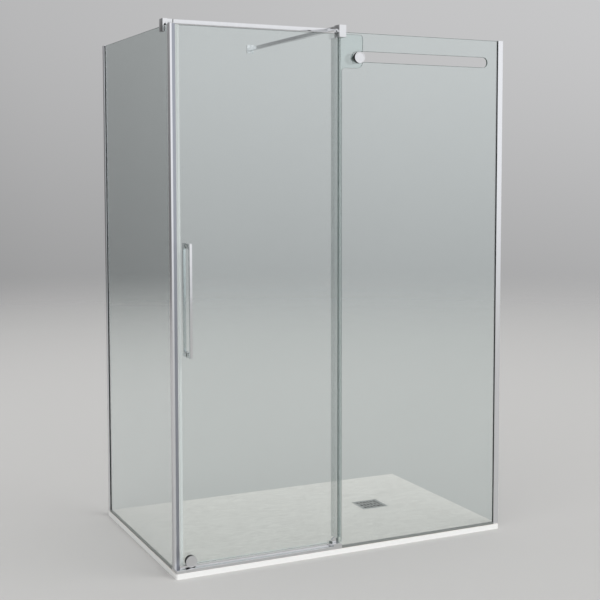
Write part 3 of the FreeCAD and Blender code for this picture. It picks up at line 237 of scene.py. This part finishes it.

# Waste dish. A black polypropylene cup that fills the waste hole under the grate, with the trap's round
# cover standing in its middle. It is moulded, and glued into the tray. Its black is partly painted shade, for
# the dark hollow under the grate.
dish_radius, dish_foot = 0.0445, 0.0010
dish_height = grate_low.z - dish_foot
dish_wall, dish_floor, gutter_width, cover_height = 0.0018, 0.0015, 0.022, 0.0025
dimple_inset, dimple_depth, dish_edge = 0.006, 0.0010, 0.0003
bpy.ops.object.select_all(action="DESELECT")
bpy.ops.mesh.primitive_cylinder_add(vertices=96, radius=dish_radius, depth=dish_height,
                                    location=(grate_middle.x, grate_middle.y, grate_low.z - dish_height / 2))
dish = bpy.context.object
dish.name = dish.data.name = "waste_dish"
mesh = edit(dish)
choose(dish, mesh, "faces", lambda middle, normal: normal.z > mostly)
bpy.ops.mesh.inset(thickness=dish_wall)
bpy.ops.mesh.extrude_region_move(TRANSFORM_OT_translate={"value": (0, 0, dish_floor - dish_height)})
bpy.ops.mesh.inset(thickness=gutter_width)
bpy.ops.mesh.extrude_region_move(TRANSFORM_OT_translate={"value": (0, 0, cover_height)})
bpy.ops.mesh.inset(thickness=dimple_inset)
bpy.ops.mesh.extrude_region_move(TRANSFORM_OT_translate={"value": (0, 0, -dimple_depth)})
bpy.ops.object.mode_set(mode="OBJECT")
modify(dish, "BEVEL", width=dish_edge, segments=2, limit_method="ANGLE", angle_limit=crease)
edit(dish)
leave(dish)
polypropylene, tree, shader, place = start_material("black_polypropylene_and_painted_shade")
# Dull black, with the orange peel that the mould leaves. The black stands partly as painted shade under the
# grate.
orange_peel = add(tree, "ShaderNodeTexNoise", {"Vector": place, "Scale": 500.0, "Detail": 3.0})
black_and_shade = add(tree, "ShaderNodeMix", {"Factor": orange_peel.outputs["Fac"], 6: linear("#18191A"),
                                   7: linear("#262728")}, data_type="RGBA")
tree.links.new(black_and_shade.outputs[2], shader.inputs["Base Color"])
shader.inputs["Roughness"].default_value = 0.4
pitted = add(tree, "ShaderNodeBump", {"Height": orange_peel.outputs["Fac"], "Strength": 0.1,
                                      "Distance": 0.0002})
tree.links.new(pitted.outputs["Normal"], shader.inputs["Normal"])
finish_piece(dish, polypropylene, "frame", "black_nylon")

# Wall channels, their caps and the corner closing profile. Extruded aluminium, satin anodised, so it looks
# almost white under soft light, with the faint upright lines that the die leaves.
aluminium, tree, shader, place = start_material("satin_anodised_aluminium")
upright = add(tree, "ShaderNodeMapping", {"Vector": place, "Scale": (1500.0, 1500.0, 4.0)})
die_lines = add(tree, "ShaderNodeTexNoise", {"Vector": upright.outputs["Vector"], "Scale": 1.0,
                                             "Detail": 3.0})
silver = add(tree, "ShaderNodeMix", {"Factor": die_lines.outputs["Fac"], 6: linear("#E3E4E7"),
                                     7: linear("#F0F0F2")}, data_type="RGBA")
tree.links.new(silver.outputs[2], shader.inputs["Base Color"])
shader.inputs["Metallic"].default_value = 1.0
satin = add(tree, "ShaderNodeMapRange", {"Value": die_lines.outputs["Fac"], "To Min": 0.24, "To Max": 0.36})
tree.links.new(satin.outputs["Result"], shader.inputs["Roughness"])
ribs = add(tree, "ShaderNodeBump", {"Height": die_lines.outputs["Fac"], "Strength": 0.06, "Distance": 0.0001})
tree.links.new(ribs.outputs["Normal"], shader.inputs["Normal"])


# The CAD mesh's corners meet well within this distance.
merge_distance = 0.000005


def softened(node, material, body, slot_name, width, segments=2):
    """A copy of a CAD piece, merged and with its sharp edges broken, as tumbling or polishing leaves them."""
    piece = bpy.data.objects.new(node + "_finished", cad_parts[node].data.copy())
    bpy.context.scene.collection.objects.link(piece)
    edit(piece)
    bpy.ops.mesh.select_all(action="SELECT")
    bpy.ops.mesh.remove_doubles(threshold=merge_distance)
    bpy.ops.mesh.dissolve_limited(angle_limit=radians(0.5))
    bpy.ops.object.mode_set(mode="OBJECT")
    bpy.ops.mesh.customdata_custom_splitnormals_clear()
    modify(piece, "BEVEL", width=width, segments=segments, limit_method="ANGLE", angle_limit=radians(40),
           miter_outer="MITER_ARC")
    edit(piece)
    leave(piece)
    finish_piece(piece, material, body, slot_name, node)
    return piece


for name in ("side_wall_channel", "front_wall_channel", "corner_profile"):
    post = softened(name, aluminium, "frame", "satin_aluminium", width=0.0003)

# Beside its rounded nose the corner profile's recessed front faces are coloured greyer and duller than the
# nose.
recess_grey, tree, shader, place = start_material("greyer_recessed_aluminium")
drawn = add(tree, "ShaderNodeMapping", {"Vector": place, "Scale": (1500.0, 1500.0, 4.0)})
drawing = add(tree, "ShaderNodeTexNoise", {"Vector": drawn.outputs["Vector"], "Scale": 1.0, "Detail": 3.0})
grey = add(tree, "ShaderNodeMix", {"Factor": drawing.outputs["Fac"], 6: linear("#9A9DA6"),
                                   7: linear("#A9ACB4")}, data_type="RGBA")
tree.links.new(grey.outputs[2], shader.inputs["Base Color"])
shader.inputs["Metallic"].default_value = 1.0
shader.inputs["Roughness"].default_value = 0.34
post.data.materials.append(recess_grey)
mesh = edit(post)
post_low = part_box("corner_profile")[0]
nose_depth, front_share = 0.002, 0.7
choose(post, mesh, "faces",
       lambda middle, normal: normal.y < -front_share and middle.y > post_low.y + nose_depth)
post.active_material_index = 1
bpy.ops.object.material_slot_assign()
bpy.ops.object.mode_set(mode="OBJECT")
for name in ("side_channel_cap", "front_channel_cap", "corner_profile_cap"):
    softened(name, aluminium, "frame", "satin_aluminium", width=0.0004, segments=3)

# Gaskets, clamp linings and the magnet strip. Black EPDM rubber, extruded, matt and slightly grained. The
# gaskets wedge the panes in the channels, and the linings sit between the panes and the clamps.
rubber, tree, shader, place = start_material("extruded_epdm_rubber")
rubber_grain = add(tree, "ShaderNodeTexNoise", {"Vector": place, "Scale": 900.0, "Detail": 4.0})
black = add(tree, "ShaderNodeMix", {"Factor": rubber_grain.outputs["Fac"], 6: linear("#1B1C1D"),
                                    7: linear("#2B2C2E")}, data_type="RGBA")
tree.links.new(black.outputs[2], shader.inputs["Base Color"])
shader.inputs["Roughness"].default_value = 0.62
pores = add(tree, "ShaderNodeBump", {"Height": rubber_grain.outputs["Fac"], "Strength": 0.2,
                                     "Distance": 0.0002})
tree.links.new(pores.outputs["Normal"], shader.inputs["Normal"])
dress(rubber, "side_channel_gasket", "front_channel_gasket", "corner_magnet_strip", "corner_clamp_lining",
      "panel_clamp_lining")

# Glass. Three panes of 8 mm toughened float glass with ground arrises. The iron in it greys the view a
# little, and along the cut edges it turns green. Shadows pass through, as they almost do in the room.


def float_glass(name, across):
    """Glass for panes that lie across one axis: clear faces, and polished edges that look dark green."""
    material, tree, shader, place = start_material(name)
    turned = add(tree, "ShaderNodeSeparateXYZ", {"Vector": add(tree, "ShaderNodeTexCoord").outputs["Normal"]})
    square = add(tree, "ShaderNodeMath", {0: turned.outputs[across], 1: 2.0}, operation="POWER")
    ground = add(tree, "ShaderNodeMapRange", {"Value": square.outputs["Value"], "From Min": 0.7,
                                              "From Max": 0.9, "To Min": 1.0, "To Max": 0.0})
    ripple = add(tree, "ShaderNodeTexNoise", {"Vector": place, "Scale": 3.0, "Detail": 1.0})
    pane_tone = add(tree, "ShaderNodeMix", {"Factor": ripple.outputs["Fac"], 6: linear("#EEF4F3"),
                                            7: linear("#F1F7F6")}, data_type="RGBA")
    stone_marks = add(tree, "ShaderNodeTexNoise", {"Vector": place, "Scale": 600.0, "Detail": 3.0})
    edge_tone = add(tree, "ShaderNodeMix", {"Factor": stone_marks.outputs["Fac"], 6: linear("#2C4842"),
                                            7: linear("#46655F")}, data_type="RGBA")
    tone = add(tree, "ShaderNodeMix", {"Factor": ground.outputs["Result"], 6: pane_tone.outputs[2],
                                       7: edge_tone.outputs[2]}, data_type="RGBA")
    tree.links.new(tone.outputs[2], shader.inputs["Base Color"])
    haze = add(tree, "ShaderNodeMapRange", {"Value": ground.outputs["Result"], "To Min": 0.0, "To Max": 0.12})
    tree.links.new(haze.outputs["Result"], shader.inputs["Roughness"])
    clarity = add(tree, "ShaderNodeMapRange", {"Value": ground.outputs["Result"], "To Min": 1.0,
                                               "To Max": 0.3})
    tree.links.new(clarity.outputs["Result"], shader.inputs["Transmission Weight"])
    shader.inputs["IOR"].default_value = 1.52
    # The panes have a thin hard layer that keeps scale off and mirrors a little more than bare glass.
    shader.inputs["Coat Weight"].default_value = 0.5
    shader.inputs["Coat IOR"].default_value = 1.9
    wave = add(tree, "ShaderNodeBump", {"Height": ripple.outputs["Fac"], "Strength": 0.02,
                                        "Distance": 0.0004})
    tree.links.new(wave.outputs["Normal"], shader.inputs["Normal"])
    iron = add(tree, "ShaderNodeVolumeAbsorption", {"Color": linear("#C4E4E3"), "Density": 5.0})
    tree.links.new(iron.outputs["Volume"], tree.nodes["Material Output"].inputs["Volume"])
    return material


dress(float_glass("front_float_glass", "Y"), "fixed_glass", "door_glass")
dress(float_glass("side_float_glass", "X"), "side_glass")
for name in ("side_glass", "fixed_glass", "door_glass"):
    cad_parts[name].visible_shadow = False

# Clamps, bars and wall flange. Solid brass blocks and square tube, polished and chrome plated. The edges
# are broken before plating, and the plate keeps a very faint haze from wiping.
chrome, tree, shader, place = start_material("polished_chrome_plate")
wipes = add(tree, "ShaderNodeTexNoise", {"Vector": place, "Scale": 60.0, "Detail": 6.0, "Roughness": 0.6})
plate_tone = add(tree, "ShaderNodeMix", {"Factor": wipes.outputs["Fac"], 6: linear("#DADBDD"),
                                         7: linear("#E5E5E6")}, data_type="RGBA")
tree.links.new(plate_tone.outputs[2], shader.inputs["Base Color"])
shader.inputs["Metallic"].default_value = 1.0
film = add(tree, "ShaderNodeMapRange", {"Value": wipes.outputs["Fac"], "To Min": 0.03, "To Max": 0.09})
tree.links.new(film.outputs["Result"], shader.inputs["Roughness"])
for name in ("corner_clamp", "panel_clamp", "panel_clamp_cover", "wall_flange"):
    softened(name, chrome, "frame", "polished_chrome", width=0.0006, segments=3)
for name in ("top_bar", "brace_bar"):
    softened(name, chrome, "frame", "polished_chrome", width=0.0002)

# Joint ring. A black nylon spacer, square like the bar, that fills the joint between the corner clamp's arm
# and the top bar. It sits round the clamp's spigot.
black_nylon, tree, shader, place = start_material("black_nylon")
# Black right through, with the soft gloss of a moulded skin.
grain = add(tree, "ShaderNodeTexNoise", {"Vector": place, "Scale": 700.0, "Detail": 3.0})
coal = add(tree, "ShaderNodeMix", {"Factor": grain.outputs["Fac"], 6: linear("#131314"),
                                   7: linear("#202021")}, data_type="RGBA")
tree.links.new(coal.outputs[2], shader.inputs["Base Color"])
shader.inputs["Roughness"].default_value = 0.45
dress(black_nylon, "top_bar_plug")

ring_width, ring_corner, ring_wall = 0.003, 0.0015, 0.0014
bar_low, bar_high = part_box("top_bar")
ring_low = Vector((bar_low.x - ring_width, bar_low.y, bar_low.z))
ring = new_block("top_bar_ring", ring_low, (bar_low.x, bar_high.y, bar_high.z))
mesh = edit(ring)
choose(ring, mesh, "edges", lambda middle, along: abs(along.x) > mostly)
bpy.ops.mesh.bevel(offset=ring_corner, segments=4)
choose(ring, mesh, "faces", lambda middle, normal: abs(normal.x) > mostly)
bpy.ops.mesh.inset(thickness=ring_wall, use_individual=True)
bpy.ops.mesh.bridge_edge_loops()
leave(ring)
finish_piece(ring, black_nylon, "frame", "black_nylon")

# Handle gaskets. Soft rubber sheet without filler, punched to the blocks' outline. It keeps the metal off
# the glass, and looks pale grey between the two.
lining, tree, shader, place = start_material("clear_rubber_sheet")
cloud = add(tree, "ShaderNodeTexNoise", {"Vector": place, "Scale": 250.0, "Detail": 3.0})
pale = add(tree, "ShaderNodeMix", {"Factor": cloud.outputs["Fac"], 6: linear("#C9CFCF"),
                                   7: linear("#DADFDE")}, data_type="RGBA")
tree.links.new(pale.outputs[2], shader.inputs["Base Color"])
shader.inputs["Roughness"].default_value = 0.4
dress(lining, "handle_gaskets")

# Screws, bolts, dowels and bearings. Plain turned steel, with fine rings from the lathe, and a socket in
# each clamp screw for the key.
steel, tree, shader, place = start_material("turned_steel")
rings = add(tree, "ShaderNodeTexNoise", {"Vector": place, "Scale": 1400.0, "Detail": 2.0})
turned_tone = add(tree, "ShaderNodeMix", {"Factor": rings.outputs["Fac"], 6: linear("#7D7F81"),
                                          7: linear("#979A9C")}, data_type="RGBA")
tree.links.new(turned_tone.outputs[2], shader.inputs["Base Color"])
shader.inputs["Metallic"].default_value = 1.0
shader.inputs["Roughness"].default_value = 0.3
dress(steel, "top_bar_screw", "rail_dowels", "guide_stem", "handle_bolts", "upper_wheel_bearing",
      "lower_wheel_bearing")


def new_rod(name, centre, radius, length, axis, vertices=64):
    """A cylinder primitive about a line along X, Y or Z."""
    bpy.ops.object.select_all(action="DESELECT")
    turn = {"x": (0, radians(90), 0), "y": (radians(90), 0, 0), "z": (0, 0, 0)}[axis]
    bpy.ops.mesh.primitive_cylinder_add(vertices=vertices, radius=radius, depth=length, location=centre,
                                        rotation=turn)
    piece = bpy.context.object
    piece.name = piece.data.name = name
    bpy.ops.object.transform_apply(location=True, rotation=True, scale=True)
    return piece


screw_radius, key_radius, screw_edge = 0.0025, 0.0014, 0.0002


def socket_screws(name, node, axis, spread):
    """A pair of grub screws that fill the node's box, each with a hexagon socket in its outer end."""
    low_corner, high_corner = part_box(node)
    middle = (low_corner + high_corner) / 2
    length = (high_corner - low_corner)["xyz".index(axis)]
    screws = []
    for sign in (-1, 1):
        centre = middle + sign * Vector(spread) / 2
        screw = new_rod(f"{name}_{sign}", centre, screw_radius, length, axis, vertices=48)
        outward = Vector([1.0 if letter == axis else 0.0 for letter in "xyz"])
        key = new_rod("key", centre + outward * length / 2, key_radius, length, axis, vertices=6)
        modify(screw, "BOOLEAN", object=key, solver="EXACT")
        bpy.data.objects.remove(key)
        modify(screw, "BEVEL", width=screw_edge, segments=2, limit_method="ANGLE", angle_limit=crease)
        screws.append(screw)
    bpy.ops.object.select_all(action="DESELECT")
    for screw in screws:
        screw.select_set(True)
    bpy.context.view_layer.objects.active = screws[0]
    bpy.ops.object.join()
    screws[0].name = screws[0].data.name = name
    edit(screws[0])
    leave(screws[0])
    finish_piece(screws[0], steel, "frame", "plain_steel", node)


socket_screws("corner_socket_screws", "corner_clamp_screws", axis="x", spread=(0, 0.014, 0))
socket_screws("panel_socket_screws", "panel_clamp_screws", axis="y", spread=(0.014, 0, 0))

# Bottom rail, its end block and the guide block. Chrome plated brass, milled. The rail is glued along the
# front of the tray, and the guide block holds the fixed pane's lower corner.
for name, width in (("bottom_rail", 0.0004), ("rail_end_block", 0.0005), ("guide_block", 0.0008)):
    softened(name, chrome, "frame", "polished_chrome", width, segments=3)

# Guide disc. A chrome drum on a stem behind the fixed pane, with a nylon face that steadies the door.


def round_face(piece, y, radius, depth, width):
    """Sink the middle of a round end face a little, with a rolled rim round it. It faces -Y."""
    face_reach, ring_share = 0.0005, 0.12
    mesh = edit(piece)
    choose(piece, mesh, "faces", lambda middle, normal: normal.y < -mostly and abs(middle.y - y) < face_reach)
    bpy.ops.mesh.inset(thickness=width)
    bpy.ops.mesh.extrude_region_move(TRANSFORM_OT_translate={"value": (0, depth, 0)})
    bpy.ops.mesh.inset(thickness=radius * ring_share)
    bpy.ops.object.mode_set(mode="OBJECT")


disc_low, disc_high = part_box("guide_disc")
disc_middle = (disc_low + disc_high) / 2
disc_radius, disc_edge = (disc_high.x - disc_low.x) / 2, 0.0007
disc = new_rod("guide_drum", disc_middle, disc_radius, disc_high.y - disc_low.y, "y", vertices=96)
round_face(disc, disc_low.y, disc_radius, depth=0.0005, width=0.0022)
modify(disc, "BEVEL", width=disc_edge, segments=3, limit_method="ANGLE", angle_limit=crease)
edit(disc)
leave(disc)
finish_piece(disc, chrome, "frame", "polished_chrome", "guide_disc")

nylon, tree, shader, place = start_material("moulded_nylon")
# Natural nylon, milky white, which light enters a little.
mould = add(tree, "ShaderNodeTexNoise", {"Vector": place, "Scale": 700.0, "Detail": 3.0})
milky = add(tree, "ShaderNodeMix", {"Factor": mould.outputs["Fac"], 6: linear("#E4E3DE"),
                                    7: linear("#EEEDE9")}, data_type="RGBA")
tree.links.new(milky.outputs[2], shader.inputs["Base Color"])
shader.inputs["Roughness"].default_value = 0.38
shader.inputs["Subsurface Weight"].default_value = 0.1
shader.inputs["Subsurface Radius"].default_value = (0.002, 0.002, 0.002)
dress(nylon, "guide_disc_pad", "handle_sleeves", "upper_roller_bush", "lower_roller_bush",
      "upper_roller_washer", "lower_roller_washer")

# Seals. Extruded PVC that clips on the glass: a faintly tinted one with a fin on the fixed pane's free edge,
# a clear wiper under the door, a smoky one under each fixed pane, and on the door's closing edge a milky one
# that holds the magnet.


def pvc(name, dark, light, body, haze):
    """Extruded PVC with the faint streaks that the die leaves along it. Body is how milky it is."""
    material, tree, shader, place = start_material(name)
    flow = add(tree, "ShaderNodeMapping", {"Vector": place, "Scale": (700.0, 700.0, 3.0)})
    streaks = add(tree, "ShaderNodeTexNoise", {"Vector": flow.outputs["Vector"], "Scale": 1.0, "Detail": 3.0})
    milk = add(tree, "ShaderNodeMix", {"Factor": streaks.outputs["Fac"], 6: linear(dark), 7: linear(light)},
               data_type="RGBA")
    tree.links.new(milk.outputs[2], shader.inputs["Base Color"])
    shader.inputs["Roughness"].default_value = haze
    shader.inputs["Alpha"].default_value = body
    return material


dress(pvc("clear_pvc", "#DDE5E2", "#EDF2F0", body=0.18, haze=0.12), "door_bottom_wiper")
dress(pvc("tinted_pvc", "#7C8684", "#909A98", body=0.22, haze=0.12), "fixed_edge_seal")
dress(pvc("smoky_pvc", "#8F9390", "#A7ABA8", body=0.6, haze=0.3), "side_sill_seal", "front_sill_seal")
dress(pvc("milky_pvc", "#DEE5E3", "#EAEFED", body=0.6, haze=0.2), "door_closing_seal")
for name in ("fixed_edge_seal", "door_closing_seal", "door_bottom_wiper"):
    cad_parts[name].visible_shadow = False

# Handle. A flat chrome bar on each side of the door, on end blocks bolted through the pane.
grip_edge = 0.0012
for side in ("outer", "inner"):
    bar_low, bar_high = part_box(f"handle_{side}_bar")
    bar = new_block(f"handle_{side}_grip", bar_low, bar_high)
    mesh = edit(bar)
    choose(bar, mesh, "edges", lambda middle, along: True)
    bpy.ops.mesh.bevel(offset=grip_edge, segments=4)
    leave(bar, smooth=30)
    finish_piece(bar, chrome, "door", "polished_chrome", f"handle_{side}_bar")
    softened(f"handle_{side}_standoffs", chrome, "door", "polished_chrome", width=0.0005, segments=3)

# Rollers. Each has a round chrome cap in front, a nylon tyre on a ball bearing, and a dome nut behind.
# The caps are turned, with a rolled rim and a shallow dish in the face, and black nylon behind.
boss_radius, front_depth, cap_edge = 0.006, 0.0016, 0.0009
for place_name, nose in (("upper", 0.0012), ("lower", 0.0017)):
    cap_low, cap_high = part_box(f"{place_name}_roller_cap")
    centre_x, centre_z = (cap_low.x + cap_high.x) / 2, (cap_low.z + cap_high.z) / 2
    radius = (cap_high.x - cap_low.x) / 2
    body_length = cap_high.y - nose - cap_low.y
    cap = new_rod(f"{place_name}_roller_cover", (centre_x, cap_low.y + body_length / 2, centre_z), radius,
                  body_length, "y", vertices=128)
    round_face(cap, cap_low.y, radius, depth=0.0006, width=0.0030)
    mesh = edit(cap)
    choose(cap, mesh, "faces", lambda middle, normal: normal.y > mostly)
    bpy.ops.mesh.inset(thickness=radius - boss_radius)
    bpy.ops.mesh.extrude_region_move(TRANSFORM_OT_translate={"value": (0, nose, 0)})
    bpy.ops.object.mode_set(mode="OBJECT")
    modify(cap, "BEVEL", width=cap_edge, segments=4, limit_method="ANGLE", angle_limit=crease)
    edit(cap)
    leave(cap)
    finish_piece(cap, chrome, "door", "polished_chrome", f"{place_name}_roller_cap")
    cap.data.materials.append(black_nylon)
    mesh = edit(cap)
    choose(cap, mesh, "faces", lambda middle, normal: middle.y > cap_low.y + front_depth)
    cap.active_material_index = 1
    bpy.ops.object.material_slot_assign()
    bpy.ops.object.mode_set(mode="OBJECT")
    softened(f"{place_name}_roller_nut", chrome, "door", "polished_chrome", width=0.0012, segments=4)
    dress(chrome, f"{place_name}_roller_axle")
    dress(black_nylon, f"{place_name}_wheel_tyre")

# Room. A plain pale floor that melts into a soft backdrop, two wide soft lamps, and a camera at the
# photograph's angle. None of it belongs to the enclosure.
floor_radius = 60
bpy.ops.object.select_all(action="DESELECT")
bpy.ops.mesh.primitive_circle_add(vertices=96, radius=floor_radius, fill_type="NGON", location=(0, 0, 0))
floor = bpy.context.object
floor.name = "studio_floor"
floor_finish, tree, shader, place = start_material("pale_floor")
shader.inputs["Base Color"].default_value = linear("#C3C2C0")
shader.inputs["Roughness"].default_value = 0.8
shader.inputs["Specular IOR Level"].default_value = 0.25
# Far from the enclosure the floor melts into the backdrop.
spread = add(tree, "ShaderNodeVectorMath", {0: place}, operation="LENGTH")
away = add(tree, "ShaderNodeMapRange", {"Value": spread.outputs["Value"], "From Min": 2.5, "From Max": 13.0},
           interpolation_type="SMOOTHSTEP")
melt = add(tree, "ShaderNodeMixShader", {"Fac": away.outputs["Result"], 1: shader.outputs["BSDF"],
                                         2: add(tree, "ShaderNodeBsdfTransparent").outputs["BSDF"]})
tree.links.new(melt.outputs["Shader"], tree.nodes["Material Output"].inputs["Surface"])
floor.data.materials.append(floor_finish)

world = bpy.data.worlds.new("studio")
bpy.context.scene.world = world
world.use_nodes = True
tree = world.node_tree
backdrop = tree.nodes["Background"]
direction = add(tree, "ShaderNodeTexCoord").outputs["Generated"]
# The studio is brightest in front on the right, and falls off softly towards the back on the left.
lit = add(tree, "ShaderNodeVectorMath", {0: direction, 1: (0.40, -0.91, 0.06)}, operation="DOT_PRODUCT")
glow = add(tree, "ShaderNodeMapRange", {"Value": lit.outputs["Value"], "From Min": -1.0, "From Max": 1.0})
sky = add(tree, "ShaderNodeValToRGB", {"Fac": glow.outputs["Result"]})
sky.color_ramp.interpolation = "B_SPLINE"
sky.color_ramp.elements[0].position = 0.0
sky.color_ramp.elements[0].color = (0.11, 0.11, 0.111, 1.0)
sky.color_ramp.elements[1].position = 0.8
sky.color_ramp.elements[1].color = (0.97, 0.98, 1.0, 1.0)
for position, grey_level in ((0.02, 0.19), (0.05, 0.37), (0.10, 0.47), (0.20, 0.52), (0.42, 0.60)):
    sky.color_ramp.elements.new(position).color = (grey_level, grey_level, grey_level * 1.01, 1.0)
# It is a little dimmer below the height of the camera than above it.
up = add(tree, "ShaderNodeSeparateXYZ", {"Vector": direction})
rise = add(tree, "ShaderNodeMapRange", {"Value": up.outputs["Z"], "From Min": -0.22, "From Max": 0.16,
                                        "To Min": 0.64, "To Max": 1.04}, interpolation_type="SMOOTHSTEP")
dimmed = add(tree, "ShaderNodeVectorMath", {0: sky.outputs["Color"], "Scale": rise.outputs["Result"]},
             operation="SCALE")
tree.links.new(dimmed.outputs["Vector"], backdrop.inputs["Color"])
rays = add(tree, "ShaderNodeLightPath")
seen = add(tree, "ShaderNodeMath", {0: rays.outputs["Is Camera Ray"], 1: rays.outputs["Is Glossy Ray"]},
           operation="MAXIMUM")
seen = add(tree, "ShaderNodeMath", {0: seen.outputs["Value"], 1: rays.outputs["Is Transmission Ray"]},
           operation="MAXIMUM")
level = add(tree, "ShaderNodeMapRange", {"Value": seen.outputs["Value"], "To Min": 0.75, "To Max": 1.0})
tree.links.new(level.outputs["Result"], backdrop.inputs["Strength"])


def soft_sun(name, towards, strength, spread_angle):
    """A far, wide soft lamp, even over the whole floor, that shines along a direction."""
    lamp = bpy.data.lights.new(name, "SUN")
    lamp.energy = strength
    lamp.angle = radians(spread_angle)
    made = bpy.data.objects.new(name, lamp)
    bpy.context.scene.collection.objects.link(made)
    made.visible_glossy = made.visible_transmission = False
    made.rotation_euler = Vector(towards).to_track_quat("-Z", "Y").to_euler()


soft_sun("key", (-0.45, 0.80, -1.10), strength=1.54, spread_angle=50)
soft_sun("fill", (0.90, 0.30, -0.80), strength=0.53, spread_angle=70)

lens = bpy.data.cameras.new("camera")
lens.lens = 70.14
lens.sensor_width = 36.0
frame_width = 600
lens.shift_x = -25 / frame_width
lens.shift_y = -45 / frame_width
camera = bpy.data.objects.new("camera", lens)
bpy.context.scene.collection.objects.link(camera)
camera.location = (-2.041, -4.403, 1.478)
camera.rotation_euler = (radians(90 - 4.1), 0, radians(-26.14))
bpy.context.scene.camera = camera
bpy.context.scene.view_settings.view_transform = "Standard"
